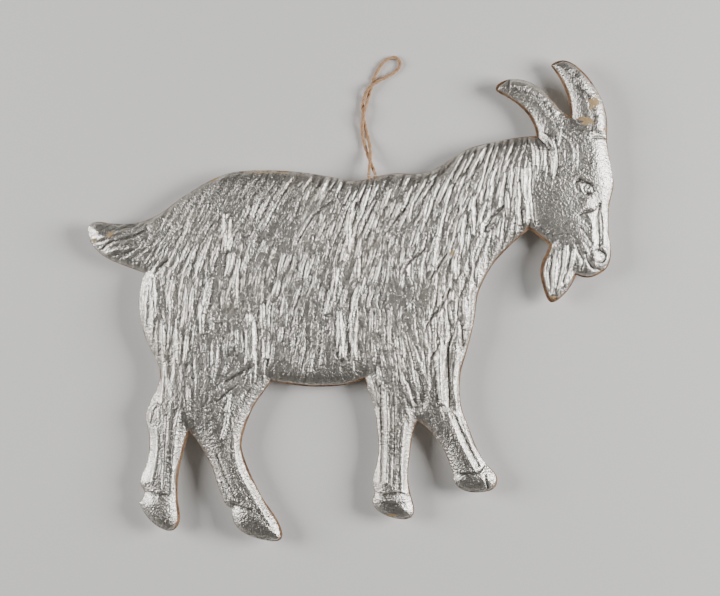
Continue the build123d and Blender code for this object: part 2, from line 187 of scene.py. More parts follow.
BODY_RIDGES = (
    # broad locks
    Ridge(((-24.9, 16.8), (-24.5, 10.2)), 0.80, 0.36),
    Ridge(((-20.2, -3.0), (-20.0, -8.0), (-20.4, -12.4)), 0.90, 0.44),
    Ridge(((-17.5, -1.0), (-17.3, -6.0), (-16.9, -11.4)), 0.60, 0.34),
    Ridge(((-2.3, -2.4), (-2.0, -7.0), (-1.6, -11.4)), 0.62, 0.34),
    Ridge(((0.4, -2.6), (0.5, -7.0), (1.0, -11.6)), 0.50, 0.30),
    Ridge(((-0.2, 17.0), (-0.6, 12.0), (-1.6, 8.0)), 0.62, 0.38),
    Ridge(((-2.8, 6.4), (-3.4, 2.0), (-4.8, -2.6)), 0.55, 0.32),
    Ridge(((1.6, 8.0), (1.3, 3.0), (0.6, -3.0)), 0.55, 0.30),
    Ridge(((16.9, 12.4), (16.3, 9.4), (15.7, 6.0)), 0.55, 0.34),
    Ridge(((17.6, -10.4), (17.9, -15.0), (18.3, -20.4)), 0.85, 0.40),
    Ridge(((23.6, 3.0), (23.4, -1.0), (23.0, -5.4)), 0.70, 0.32),
    Ridge(((20.7, 8.2), (20.7, 4.4)), 0.50, 0.28),
    Ridge(((24.0, 21.0), (24.1, 17.4), (24.4, 13.2)), 0.50, 0.30),
    Ridge(((28.0, 27.0), (27.6, 23.0), (27.4, 20.0)), 0.55, 0.30),
    Ridge(((-29.6, -1.0), (-29.4, -6.4)), 0.55, 0.24),
    Ridge(((-34.4, -6.0), (-34.2, -12.4)), 0.50, 0.26),
    Ridge(((-22.2, 8.0), (-22.8, 3.6), (-22.6, -1.4)), 0.45, 0.24),
    # creases of the shoulder and foreleg
    Ridge(((19.8, 2.2), (18.3, -0.8), (16.2, -3.4), (15.0, -5.2)), 0.26, -0.42),
    Ridge(((19.2, 9.2), (17.4, 6.6), (15.8, 4.2)), 0.28, -0.44),
    Ridge(((14.8, 10.2), (12.8, 8.4), (11.0, 7.2)), 0.24, -0.36),
    Ridge(((17.8, -8.6), (16.9, -10.4), (15.9, -11.8)), 0.24, -0.36),
    Ridge(((12.2, 7.6), (12.0, 5.2), (12.6, 3.2)), 0.22, -0.26),
    Ridge(((9.1, -9.6), (9.4, -12.6), (9.9, -16.4)), 0.24, -0.28),
    Ridge(((4.4, -16.4), (5.3, -20.4)), 0.45, 0.26),
    Ridge(((5.4, -13.2), (6.6, -17.6)), 0.26, 0.24),
    Ridge(((10.2, -15.4), (11.4, -18.0), (12.4, -21.0)), 0.45, 0.26),
    Ridge(((12.0, -8.0), (13.2, -11.0), (14.2, -14.4)), 0.24, 0.22),
    Ridge(((11.0, -6.4), (12.0, -10.4), (12.8, -13.4)), 0.22, -0.22),
    # long dark creases where locks of fur end
    Ridge(((30.6, 18.8), (28.2, 16.5), (26.6, 13.8)), 0.36, -0.50),
    Ridge(((10.9, 18.2), (8.6, 15.6), (7.5, 13.8)), 0.32, -0.44),
    Ridge(((-3.4, 20.0), (-7.5, 16.6), (-10.6, 11.6)), 0.30, -0.36),
    Ridge(((-35.8, 14.6), (-37.6, 12.2)), 0.30, -0.36),
    Ridge(((-36.3, 8.0), (-38.9, 5.6)), 0.30, -0.36),
    Ridge(((-19.8, -13.5), (-22.6, -14.8), (-25.2, -16.4)), 0.30, -0.34),
    Ridge(((-22.8, -17.0), (-26.7, -20.2)), 0.28, -0.30),
    # bright edges of the big forms
    Ridge(((-19.3, -4.5), (-19.4, -12.4)), 0.42, 0.26),
    Ridge(((-16.5, -0.8), (-16.4, -11.4)), 0.36, 0.22),
    Ridge(((-24.0, 16.2), (-24.7, 9.6)), 0.40, 0.22),
    Ridge(((0.6, 21.0), (-0.2, 15.0), (-0.4, 9.6)), 0.40, 0.24),
    Ridge(((-37.4, -4.8), (-37.2, -12.0), (-37.6, -20.2)), 0.34, 0.28),
    Ridge(((17.7, -8.0), (17.8, -14.0), (18.1, -20.4)), 0.50, 0.26),
    Ridge(((21.0, -9.4), (21.0, -15.0), (21.2, -21.6)), 0.55, 0.24),
    Ridge(((19.4, -9.6), (19.3, -15.0), (19.7, -21.0)), 0.34, -0.34),
    # chest
    Ridge(((22.0, 2.0), (21.4, -1.2), (21.1, -4.4), (20.4, -7.2), (19.2, -9.4)), 0.22, -0.32),
    Ridge(((23.2, 0.4), (23.6, -1.6), (23.2, -5.4)), 0.20, -0.24),
    Ridge(((22.0, -5.0), (22.3, -7.4), (22.0, -10.0)), 0.22, -0.28),
    Ridge(((19.4, 2.0), (19.3, -2.0), (19.8, -5.2), (19.9, -8.0), (19.0, -12.0)), 0.22, -0.28),
    Ridge(((24.4, 3.4), (22.9, -1.0), (22.4, -4.6)), 0.40, 0.22),
    # rear foreleg
    Ridge(((6.0, -17.0), (6.3, -26.0), (6.2, -36.0)), 0.22, -0.34),
    Ridge(((7.1, -17.0), (7.3, -26.0), (7.1, -36.4)), 0.36, 0.26),
    Ridge(((8.8, -21.0), (8.7, -30.0), (8.4, -36.6)), 0.26, -0.20),
    Ridge(((10.7, -24.8), (10.2, -31.0), (10.3, -38.2)), 0.38, 0.26),
    Ridge(((5.0, -38.2), (7.0, -38.8), (9.4, -38.4), (11.6, -38.9)), 0.24, -0.20),
    Ridge(((5.2, -39.4), (8.0, -39.9), (11.2, -40.0)), 0.36, 0.18),
    # front foreleg
    Ridge(((19.4, -22.5), (21.8, -28.4), (24.9, -34.0)), 0.36, 0.24),
    Ridge(((20.8, -23.0), (22.9, -28.0), (25.7, -33.2)), 0.22, -0.28),
    Ridge(((22.4, -23.6), (24.0, -28.2), (26.6, -32.4)), 0.34, 0.22),
    Ridge(((21.4, -34.6), (23.6, -34.6), (25.4, -34.2), (27.2, -32.6)), 0.24, -0.22),
    Ridge(((26.9, -34.8), (27.0, -36.0), (27.4, -37.3)), 0.22, -0.30),
    # far hind leg
    Ridge(((-38.7, -20.6), (-39.8, -22.2), (-40.0, -24.2)), 0.32, 0.30),
    Ridge(((-34.3, -22.4), (-35.2, -30.0), (-35.7, -38.2)), 0.42, 0.26),
    Ridge(((-36.6, -23.0), (-37.0, -30.0), (-37.4, -37.4)), 0.22, -0.26),
    Ridge(((-38.6, -25.4), (-38.6, -30.0), (-39.6, -36.4)), 0.30, 0.22),
    Ridge(((-41.0, -38.2), (-38.6, -38.6), (-36.4, -38.9)), 0.24, -0.18),
    # near hind leg
    Ridge(((-24.1, -19.0), (-24.7, -24.0), (-25.6, -27.4)), 0.36, 0.26),
    Ridge(((-27.6, -32.4), (-26.4, -35.8), (-25.0, -39.8)), 0.30, 0.28),
    Ridge(((-26.6, -31.0), (-24.9, -35.4), (-22.9, -39.6)), 0.24, -0.28),
    Ridge(((-23.2, -27.4), (-22.6, -33.0), (-19.6, -38.8), (-16.2, -44.4)), 0.46, 0.30),
    Ridge(((-23.4, -40.6), (-21.8, -41.2), (-19.6, -41.8)), 0.24, -0.18),
    Ridge(((-19.4, -43.6), (-18.4, -45.0)), 0.18, -0.10),
    # tail
    Ridge(((-49.4, 10.2), (-48.4, 11.2), (-46.0, 12.2), (-43.2, 13.0), (-40.4, 14.2)), 0.24, -0.36),
    Ridge(((-50.2, 12.2), (-47.0, 13.6), (-43.0, 14.3)), 0.34, 0.22),
    Ridge(((-49.0, 9.4), (-46.0, 10.2), (-42.6, 10.8)), 0.34, 0.22),
)


@dataclass(frozen=True)
class FurLayer:
    """One layer of pressed hairs: how close, long, wide and high they are."""

    across: float
    along: float
    length: Point2
    width: Point2
    rise: Point2


FUR_LAYERS = (
    FurLayer(2.8, 5.0, (7.0, 12.0), (0.55, 0.90), (0.06, 0.24)),
    FurLayer(1.25, 3.4, (4.5, 9.5), (0.19, 0.36), (0.10, 0.30)),
    FurLayer(0.75, 2.2, (2.2, 4.6), (0.15, 0.23), (0.05, 0.16)),
)

# across the coat: how far the hairs lean from upright, towards the head at their top, in
# degrees, and how boldly they are pressed
FUR_FLOW = (
    (-38.0, 0.0, 3.0, 0.9), (-35.0, 12.0, 26.0, 0.9), (-27.0, 20.0, 36.0, 0.8), (-15.0, 22.5, 33.0, 0.9),
    (0.0, 20.0, 25.0, 1.1), (12.0, 21.0, 24.0, 1.1), (22.0, 26.0, 30.0, 1.3), (29.0, 28.0, 20.0, 1.5),
    (33.5, 22.0, 2.0, 1.5), (-25.0, 5.0, 10.0, 1.0), (-10.0, 6.0, 17.0, 0.9), (4.0, 5.0, 12.0, 0.9),
    (10.0, 0.0, 2.0, 0.6), (15.0, 8.0, 12.0, 1.0), (22.0, 14.0, 12.0, 1.3), (29.0, 15.0, 10.0, 1.1),
    (20.0, 2.0, 8.0, 1.3), (23.5, -4.0, -6.0, 1.3), (18.5, -14.0, -2.0, 0.8), (10.0, -10.0, -14.0, 1.0),
    (0.0, -8.0, 6.0, 1.0), (-10.0, -12.0, 10.0, 0.7), (-20.0, -10.0, 2.0, 1.0), (-28.0, -10.0, 3.0, 0.8),
    (-36.0, -12.0, 0.0, 1.1), (-38.0, -22.0, -4.0, 0.35), (-37.0, -28.0, -3.0, 0.18),
    (-37.0, -35.0, -3.0, 0.10), (-28.0, -23.0, -10.0, 0.4), (-24.5, -31.0, -22.0, 0.14),
    (-20.0, -39.0, -32.0, 0.08), (8.0, -20.0, -12.0, 0.6), (8.0, -28.0, 1.0, 0.16), (8.0, -36.0, 0.0, 0.10),
    (19.0, -25.0, -18.0, 0.35), (23.0, -31.0, -27.0, 0.12), (-44.0, 12.0, 70.0, 0.6),
    (-50.0, 13.0, 66.0, 0.5), (-40.5, 12.0, 42.0, 0.8), (38.0, 29.0, 8.0, 0.5), (41.0, 5.0, -3.0, 0.4),
    (-13.0, -15.6, 0.0, 0.2), (-5.0, -16.2, 0.0, 0.15), (1.5, -15.8, 0.0, 0.2), (-24.0, -18.0, 40.0, 0.6),
)

FACE_PATCH = (
    (36.2, 25.6), (41.0, 24.6), (41.6, 33.2), (46.0, 38.0), (54.0, 36.0), (54.0, 3.0), (46.0, 4.6),
    (42.6, 10.6), (36.4, 13.0), (36.4, 18.0),
)
HORN_PATCH = ((26.0, 40.0), (36.8, 33.4), (44.0, 34.0), (54.0, 33.0), (54.0, 50.0), (26.0, 50.0))
HOOF_PATCHES = (
    ((-44.0, -38.8), (-33.0, -39.6), (-33.0, -48.0), (-44.0, -48.0)),
    ((-24.5, -40.4), (-16.5, -42.6), (-12.0, -42.0), (-12.0, -50.0), (-25.0, -50.0)),
    ((3.0, -38.6), (13.5, -38.8), (13.5, -45.0), (3.0, -45.0)),
    ((19.5, -34.6), (25.4, -34.2), (28.0, -31.6), (31.0, -36.0), (29.0, -40.0), (19.5, -40.0)),
)

# the outer side of each horn, from its foot up, and how far its growth rings reach across
HORN_RING_STEP = 0.66
HORN_RING_WIDTH, HORN_RING_RISE = 0.19, 0.24
HORN_SIDES = (
    (((49.2, 34.0), (49.5, 36.4), (48.7, 39.8), (47.0, 42.6), (45.0, 44.8)), 1.5),
    (((41.0, 37.2), (39.6, 39.2), (37.4, 41.2), (34.6, 42.7), (31.8, 43.1)), 1.2),
)

# stretches of the cut edge where the raw card stands out past the silver: points and how far
BARE_EDGES = (
    (((39.8, 10.4), (38.3, 7.0), (38.2, 4.4), (39.0, 1.6), (40.4, 0.0)), 0.50),
    (((36.2, 14.2), (38.0, 12.6), (39.8, 11.0)), 0.42),
    (((45.2, 5.2), (47.4, 4.9), (49.6, 5.4)), 0.28),
    (((29.6, 43.2), (32.8, 41.4), (35.4, 38.4), (37.4, 33.6)), 0.45),
    (((41.0, 48.0), (42.6, 44.6), (43.8, 41.0), (44.4, 36.4)), 0.38),
    (((42.4, 48.0), (45.0, 46.6), (47.4, 44.0)), 0.30),
    (((-21.4, -24.0), (-20.4, -32.0), (-15.6, -41.0), (-14.2, -46.0)), 0.24),
    (((-32.4, -21.6), (-33.8, -30.0), (-34.2, -38.0), (-34.2, -44.4)), 0.26),
    (((-16.0, -15.8), (-8.0, -16.8), (2.6, -16.0)), 0.22),
)

# where the silver has rubbed off: centre, half length, half width, lean
WORN_SPOTS = (
    (48.5, 39.4, 1.35, 1.05, 60.0), (47.0, 35.9, 1.5, 0.75, -25.0), (50.8, 34.1, 0.45, 0.4, 0.0),
    (49.6, 41.5, 0.9, 0.25, -60.0), (-47.9, 13.1, 0.95, 0.32, 42.0), (-51.1, 12.1, 0.45, 0.3, 0.0),
    (20.2, 9.5, 0.5, 0.4, 30.0), (-27.0, 24.2, 0.9, 0.22, 30.0), (-16.0, 25.6, 4.5, 0.16, 0.0),
    (-33.6, -31.9, 0.4, 0.3, 0.0), (8.0, -42.9, 1.2, 0.25, 0.0), (40.4, 0.6, 0.5, 0.35, 40.0),
)


# ---------------------------------------------------------------------------------------
# The cut edge
# ---------------------------------------------------------------------------------------
class Outline:
    """The goat's cut edge, read from the upper rim of the CAD's silver paper."""

    def __init__(self, node: str, step: float = 0.2, corner: float = 34.0) -> None:
        """Read and smooth the edge.

        Args:
            node: the CAD node whose rim gives the edge.
            step: spacing of the smoothed points.
            corner: turn in degrees above which a CAD point stays a sharp corner.
        """
        loop = self._rim_loop(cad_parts[node].data)
        self.points = self._smooth(loop, step, corner)
        self.normals = self._outward(self.points)
        self._tree = self._nearest_tree(self._smooth(loop, step / 2, corner))

    @staticmethod
    def _rim_loop(mesh: bpy.types.Mesh) -> np.ndarray:
        """The closed loop of edges between the upright cut face and the flat rim.

        Args:
            mesh: the mesh of the silver paper.

        Returns:
            The loop's points in millimetres, anticlockwise.
        """
        grid = bmesh.new()
        grid.from_mesh(mesh)
        bmesh.ops.remove_doubles(grid, verts=grid.verts, dist=WELD)
        upright, level = 0.1, 0.9
        beside: dict[int, list[int]] = {}
        for edge in grid.edges:
            tilts = [face.normal.z for face in edge.link_faces]
            if len(tilts) == 2 and min(map(abs, tilts)) < upright and max(tilts) > level:
                first, second = (vert.index for vert in edge.verts)
                beside.setdefault(first, []).append(second)
                beside.setdefault(second, []).append(first)
        grid.verts.ensure_lookup_table()
        start = min(beside)
        order, seen = [start], {start}
        while True:
            onward = [vert for vert in beside[order[-1]] if vert not in seen]
            if not onward:
                break
            order.append(onward[0])
            seen.add(onward[0])
        loop = np.array([grid.verts[index].co[:2] for index in order]) / MM
        grid.free()
        after = np.roll(loop, -1, axis=0)
        area = float(np.sum(loop[:, 0] * after[:, 1] - after[:, 0] * loop[:, 1]))
        return loop if area > 0 else loop[::-1]

    @staticmethod
    def _smooth(loop: np.ndarray, step: float, corner: float) -> np.ndarray:
        """Points along a smooth curve through the loop, sharp at its corners.

        Args:
            loop: the CAD's points.
            step: spacing of the new points.
            corner: turn in degrees above which a point stays sharp.

        Returns:
            The new points.
        """
        before, after = np.roll(loop, 1, axis=0), np.roll(loop, -1, axis=0)
        into, out = loop - before, after - loop
        into_length = np.linalg.norm(into, axis=1)
        out_length = np.linalg.norm(out, axis=1)
        into_unit, out_unit = into / into_length[:, None], out / out_length[:, None]
        turn = np.degrees(np.arccos(np.clip(np.sum(into_unit * out_unit, axis=1), -1, 1)))
        sharp = turn > corner
        heading = into_unit * out_length[:, None] + out_unit * into_length[:, None]
        heading /= np.linalg.norm(heading, axis=1)[:, None]
        leave = np.where(sharp[:, None], out_unit, heading)
        arrive = np.where(sharp[:, None], into_unit, heading)
        found = []
        for index in range(len(loop)):
            following = (index + 1) % len(loop)
            length = out_length[index]
            count = max(1, round(length / step))
            t = (np.arange(count) / count)[:, None]
            first, last = loop[index], loop[following]
            found.append(
                (2 * t**3 - 3 * t**2 + 1) * first
                + (t**3 - 2 * t**2 + t) * length * leave[index]
                + (3 * t**2 - 2 * t**3) * last
                + (t**3 - t**2) * length * arrive[following]
            )
        return np.concatenate(found)

    @staticmethod
    def _outward(points: np.ndarray) -> np.ndarray:
        """Outward unit normals of an anticlockwise closed line.

        Args:
            points: the line's points.

        Returns:
            One normal for each point.
        """
        along = np.roll(points, -1, axis=0) - np.roll(points, 1, axis=0)
        normals = np.stack([along[:, 1], -along[:, 0]], axis=1)
        return normals / np.linalg.norm(normals, axis=1)[:, None]

    @staticmethod
    def _nearest_tree(points: np.ndarray) -> kdtree.KDTree:
        """A search tree of the edge's points.

        Args:
            points: the points.

        Returns:
            The tree, ready to search.
        """
        tree = kdtree.KDTree(len(points))
        for index, (x, y) in enumerate(points):
            tree.insert((x, y, 0.0), index)
        tree.balance()
        return tree

    def depth(self, points: np.ndarray) -> np.ndarray:
        """Distance of each point from the cut edge."""
        return np.array([self._tree.find((x, y, 0.0))[2] for x, y in points])

    def inset(self, amounts: np.ndarray) -> np.ndarray:
        """The edge moved inwards, by an amount for each point, without the loops that this folds.

        Args:
            amounts: how far each point moves.

        Returns:
            The points that remain.
        """
        share, slack = 0.9, 0.02
        moved = self.points - self.normals * amounts[:, None]
        return untangled(moved[self.depth(moved) > share * np.abs(amounts) - slack])


def turning(first: np.ndarray, second: np.ndarray, third: np.ndarray) -> np.ndarray:
    """Positive where three points turn left, negative where they turn right."""
    return ((second[:, 0] - first[:, 0]) * (third[:, 1] - first[:, 1])
            - (second[:, 1] - first[:, 1]) * (third[:, 0] - first[:, 0]))


def untangled(border: np.ndarray, reach: int = 60) -> np.ndarray:
    """A closed border without the small loops where it crosses itself.

    Args:
        border: the border's points.
        reach: how many points ahead a crossing is looked for.

    Returns:
        The border without the points of those loops.
    """
    tangled = True
    while tangled:
        tangled = False
        ends = np.roll(border, -1, axis=0)
        for ahead in range(reach, 1, -1):
            starts, stops = np.roll(border, -ahead, axis=0), np.roll(ends, -ahead, axis=0)
            crossed = turning(border, ends, starts) * turning(border, ends, stops) <= 0
            crossed &= turning(starts, stops, border) * turning(starts, stops, ends) <= 0
            if crossed.any():
                first = int(np.flatnonzero(crossed)[0])
                border = np.roll(border, -first - 1, axis=0)[ahead:]
                tangled = True
                break
    return border


def inside(points: np.ndarray, border: np.ndarray) -> np.ndarray:
    """Which points lie inside a closed border.

    Args:
        points: (n, 2) points.
        border: (m, 2) corners of the border.

    Returns:
        One truth value for each point.
    """
    found = np.zeros(len(points), dtype=bool)
    for (ax, ay), (bx, by) in zip(border, np.roll(border, -1, axis=0)):
        if ay == by:
            continue
        crossing = (ay > points[:, 1]) != (by > points[:, 1])
        found ^= crossing & (points[:, 0] < ax + (points[:, 1] - ay) * (bx - ax) / (by - ay))
    return found


def curved(points: np.ndarray, parts: int = 5) -> np.ndarray:
    """A smooth curve through a few points.

    Args:
        points: the points; two of them stay a straight line.
        parts: how many steps the curve takes between two points.

    Returns:
        The curve's points.
    """
    if len(points) == 2:
        return points
    ends = np.vstack([2 * points[0] - points[1], points, 2 * points[-1] - points[-2]])
    found = []
    for a, b, c, d in zip(ends, ends[1:], ends[2:], ends[3:]):
        for step in range(parts):
            t = step / parts
            found.append(0.5 * (2 * b + (c - a) * t + (2 * a - 5 * b + 4 * c - d) * t * t
                                + (3 * b - a - 3 * c + d) * t**3))
    return np.array(found + [points[-1]])


def oval_gap(points: np.ndarray, centre: Point2, half_sizes: Point2, lean: float) -> np.ndarray:
    """How far points are from an oval's centre.

    Args:
        points: (n, 2) points.
        centre: the oval's centre.
        half_sizes: its half length and half width.
        lean: the turn of its length from the X axis, in degrees.

    Returns:
        The square of each distance, 1 on the oval.
    """
    turn = math.radians(lean)
    dx, dy = points[:, 0] - centre[0], points[:, 1] - centre[1]
    u = (dx * math.cos(turn) + dy * math.sin(turn)) / half_sizes[0]
    v = (dy * math.cos(turn) - dx * math.sin(turn)) / half_sizes[1]
    return u * u + v * v


# ---------------------------------------------------------------------------------------
# The embossing
# ---------------------------------------------------------------------------------------
@dataclass
class Embossing:
    """A height map of the fine pressed lines, and the broad relief that it lies on."""

    outline: Outline
    seed: int
    cell: float = 0.125
    half_size: Point2 = (54.0, 50.0)
    edge_height: float = 0.42
    shoulder_rise: float = 1.02
    shoulder_width: float = 1.25
    round_rise: float = 0.82
    round_reach: float = 7.0
    ceiling: float = 2.42
    highest: float = 2.98
    ceiling_bend: float = 5.0  # how sharply the relief levels off under the ceiling
    flat_rim: float = 0.2
    line_fade: float = 0.55
    crest_reach: int = 6  # cells
    ridge_ends: float = 0.45  # share of its width that a line keeps at its ends
    ridge_swell: float = 0.55
    ring_side: float = 1.05
    fur_scatter: float = 1.2
    fur_lean_spread: float = 0.085
    fur_bend_spread: float = 0.022
    tuft_size: float = 5.2
    tuft_count: int = 22
    tuft_boldness: Point2 = (0.45, 1.35)
    lines: np.ndarray = field(init=False)
    crests: np.ndarray = field(init=False)

    def __post_init__(self) -> None:
        """Press every line of the goat into the map."""
        self.random = np.random.default_rng(self.seed)
        columns, rows = (round(2 * half / self.cell) + 1 for half in self.half_size)
        self.lines = np.zeros((rows, columns), dtype=np.float64)
        for layer in FUR_LAYERS:
            self._press_fur(layer)
        self._press_horn_rings()
        for ridge in BODY_RIDGES + FACE_RIDGES + BEARD_RIDGES:
            self._press_ridge(ridge)
        # how far the lines stand above or below their surroundings; the silver material darkens the low
        # places as painted shade
        self.crests = self.lines - self._softened(self.lines, self.crest_reach)

    @staticmethod
    def _softened(heights: np.ndarray, reach: int) -> np.ndarray:
        """The map with each cell averaged over its neighbours within reach.

        Args:
            heights: the map.
            reach: how many cells to each side count.

        Returns:
            The softened map.
        """
        kernel = np.ones(2 * reach + 1) / (2 * reach + 1)
        for axis in (0, 1):
            heights = np.apply_along_axis(np.convolve, axis, heights, kernel, "same")
        return heights

    def _window(self, low: np.ndarray, high: np.ndarray) -> tuple[slice, slice, np.ndarray, np.ndarray]:
        """The part of the map between two corners, and the places of its cells.

        Args:
            low: the lower left corner.
            high: the upper right corner.

        Returns:
            Its rows and columns, and its cells' x and y.
        """
        half = np.array(self.half_size)
        first = np.maximum(np.floor((low + half) / self.cell).astype(int), 0)
        last = np.minimum(np.ceil((high + half) / self.cell).astype(int) + 1, self.lines.shape[::-1])
        x = (np.arange(first[0], last[0]) * self.cell - half[0])[None, :]
        y = (np.arange(first[1], last[1]) * self.cell - half[1])[:, None]
        return slice(first[1], last[1]), slice(first[0], last[0]), x, y

    def _press_ridge(self, ridge: Ridge) -> None:
        """Press one listed line, thinner towards its ends.

        Args:
            ridge: the line.
        """
        points = curved(np.array(ridge.points))
        reach = 3 * ridge.width
        rows, columns, x, y = self._window(points.min(0) - reach, points.max(0) + reach)
        total = len(points) - 1
        best = np.full((x + y).shape, np.inf)
        place = np.zeros_like(best)
        for index, (first, last) in enumerate(zip(points, points[1:])):
            along = last - first
            t = ((x - first[0]) * along[0] + (y - first[1]) * along[1]) / (along @ along)
            t = np.clip(t, 0, 1)
            gap = np.hypot(x - first[0] - t * along[0], y - first[1] - t * along[1])
            closer = gap < best
            best = np.where(closer, gap, best)
            place = np.where(closer, (index + t) / total, place)
        middle = np.sin(np.pi * np.clip(place, 0.02, 0.98)) ** 0.6
        width = ridge.width * (self.ridge_ends + self.ridge_swell * middle)
        self.lines[rows, columns] += ridge.rise * np.exp(-((best / width) ** 2))

    @staticmethod
    def _flow_at(points: np.ndarray) -> tuple[np.ndarray, np.ndarray]:
        """The fur's lean in radians and its boldness at each point, blended from known places.

        Args:
            points: (n, 2) points.

        Returns:
            The leans and the boldness.
        """
        known, softness = np.array(FUR_FLOW), 4.0
        gaps = (points[:, None, 0] - known[None, :, 0]) ** 2 + (points[:, None, 1] - known[None, :, 1]) ** 2
        weights = 1.0 / (gaps + softness) ** 2
        blended = weights @ known[:, 2:] / weights.sum(axis=1)[:, None]
        return np.radians(blended[:, 0]), blended[:, 1]

    def _press_fur(self, layer: FurLayer) -> None:
        """Press one layer of hairs over the coat.

        Args:
            layer: the layer.
        """
        half_x, half_y = self.half_size
        grid_x, grid_y = np.meshgrid(
            np.arange(-half_x, half_x, layer.across), np.arange(-half_y, half_y, layer.along)
        )
        roots = np.stack([grid_x.ravel(), grid_y.ravel()], axis=1)
        scatter = (layer.across * self.fur_scatter, layer.along * self.fur_scatter)
        roots += self.random.uniform(-0.5, 0.5, roots.shape) * scatter
        keep = inside(roots, self.outline.points[::3])
        for patch in (FACE_PATCH, HORN_PATCH, *HOOF_PATCHES):
            keep &= ~inside(roots, np.array(patch))
        roots = roots[keep]
        leans, boldness = self._flow_at(roots)
        leans += self.random.normal(0.0, self.fur_lean_spread, len(roots))
        lengths = self.random.uniform(*layer.length, len(roots)) * (0.7 + 0.3 * boldness)
        widths = self.random.uniform(*layer.width, len(roots)) * (0.75 + 0.25 * boldness)
        tufts = self.random.uniform(*self.tuft_boldness, (self.tuft_count, self.tuft_count))
        tuft = (roots / self.tuft_size + self.tuft_count / 2).astype(int)
        column, row = np.clip(tuft, 0, self.tuft_count - 1).T
        rises = self.random.uniform(*layer.rise, len(roots)) * boldness * tufts[row, column]
        bends = self.random.normal(0.0, self.fur_bend_spread, len(roots))
        pressed = np.zeros_like(self.lines)
        for root, lean, length, width, rise, bend in zip(roots, leans, lengths, widths, rises, bends):
            reach = length / 2 + width
            rows, columns, x, y = self._window(root - reach, root + reach)
            u = (x - root[0]) * math.sin(lean) + (y - root[1]) * math.cos(lean)
            v = (x - root[0]) * math.cos(lean) - (y - root[1]) * math.sin(lean) - bend * u * u
            end = np.clip(1 - np.abs(2 * u / length) ** 2.5, 0, 1)
            thickness = width * (self.ridge_ends + self.ridge_swell * end)
            hair = rise * end * np.exp(-np.abs(v / thickness) ** 1.7)
            pressed[rows, columns] = np.maximum(pressed[rows, columns], hair)
        self.lines += pressed

    def _press_horn_rings(self) -> None:
        """Press the short growth rings across the horns' outer sides."""
        for path, width in HORN_SIDES:
            points = curved(np.array(path), 12)
            for index in range(len(points) - 1):
                along = points[index + 1] - points[index]
                across = np.array([along[1], -along[0]]) / np.linalg.norm(along)
                count = max(1, round(float(np.linalg.norm(along)) / HORN_RING_STEP))
                for part in range(count):
                    middle = points[index] + along * part / count
                    start = middle - across * width * self.random.uniform(0.2, 0.7)
                    lean = self.random.uniform(-0.12, 0.12)
                    stop = middle + across * width * self.ring_side + along * lean
                    self._press_ridge(Ridge((tuple(start), tuple(stop)), HORN_RING_WIDTH, HORN_RING_RISE))

    def height(self, points: np.ndarray, depth: np.ndarray, with_lines: bool = True) -> np.ndarray:
        """Height of the pressed face above the seam plane.

        Args:
            points: (n, 2) places.
            depth: each place's distance from the cut edge.
            with_lines: whether the fine lines count.

        Returns:
            One height for each place.
        """
        lift = 1 - np.exp(-np.maximum(depth - self.flat_rim, 0) / self.shoulder_width)
        height = (
            self.edge_height + self.shoulder_rise * lift
            + self.round_rise * depth / (depth + self.round_reach)
        )
        for swell in BODY_SWELLS:
            gap = oval_gap(points, swell.centre, (swell.half_length, swell.half_width), swell.lean)
            height += swell.rise * lift * np.exp(-gap)
        bend = self.ceiling_bend
        height = -np.logaddexp(-bend * height, -bend * self.ceiling) / bend
        if with_lines:
            height += self.sample(self.lines, points) * np.clip(depth / self.line_fade, 0, 1)
        return np.minimum(height, self.highest)

    def sample(self, values: np.ndarray, points: np.ndarray) -> np.ndarray:
        """A map's value at each point, between its cells.

        Args:
            values: the map.
            points: (n, 2) points.

        Returns:
            One value for each point.
        """
        place = (points + np.array(self.half_size)) / self.cell
        cell = np.clip(np.floor(place).astype(int), 0, np.array(self.lines.shape[::-1]) - 2)
        fx, fy = (place - cell).T
        column, row = cell.T
        low = values[row, column] * (1 - fx) + values[row, column + 1] * fx
        high = values[row + 1, column] * (1 - fx) + values[row + 1, column + 1] * fx
        return low * (1 - fy) + high * fy


# ---------------------------------------------------------------------------------------
# Meshes
# ---------------------------------------------------------------------------------------
def hex_points(border: np.ndarray, spacing: float, clear: float, outline: Outline) -> np.ndarray:
    """Evenly spread points inside a border.

    Args:
        border: the closed border.
        spacing: distance between neighbours.
        clear: least distance from the cut edge.
        outline: the cut edge.

    Returns:
        The points.
    """
    low, high = border.min(axis=0), border.max(axis=0)
    rows = []
    for index, y in enumerate(np.arange(low[1], high[1], spacing * math.sqrt(3) / 2)):
        x = np.arange(low[0], high[0], spacing) + (spacing / 2 if index % 2 else 0)
        rows.append(np.stack([x, np.full_like(x, y)], axis=1))
    points = np.concatenate(rows)
    points = points[inside(points, border)]
    return points[outline.depth(points) > clear]


def filled(border: np.ndarray, within: np.ndarray) -> Faces:
    """Triangles that fill a closed border, through the points within it.

    Args:
        border: the closed border.
        within: the points within it.

    Returns:
        Corner numbers of each triangle, the border first.
    """
    places = [Vector(point) for point in border] + [Vector(point) for point in within]
    keep_inside, least_gap = 1, 1e-7
    made = delaunay_2d_cdt(places, [], [list(range(len(border)))], keep_inside, least_gap)
    source = [origins[0] for origins in made[3]]
    return [tuple(source[corner] for corner in face) for face in made[2]]


def mesh_object(name: str, points: np.ndarray, faces: Faces) -> bpy.types.Object:
    """A new object from points in millimetres.

    Args:
        name: the object's name.
        points: (n, 3) places in millimetres.
        faces: corner numbers of each face.

    Returns:
        The linked object, smooth shaded.
    """
    mesh = bpy.data.meshes.new(name)
    mesh.from_pydata((points * MM).tolist(), [], faces)
    mesh.update()
    mesh.polygons.foreach_set("use_smooth", [True] * len(mesh.polygons))
    made = bpy.data.objects.new(name, mesh)
    bpy.context.scene.collection.objects.link(made)
    return made


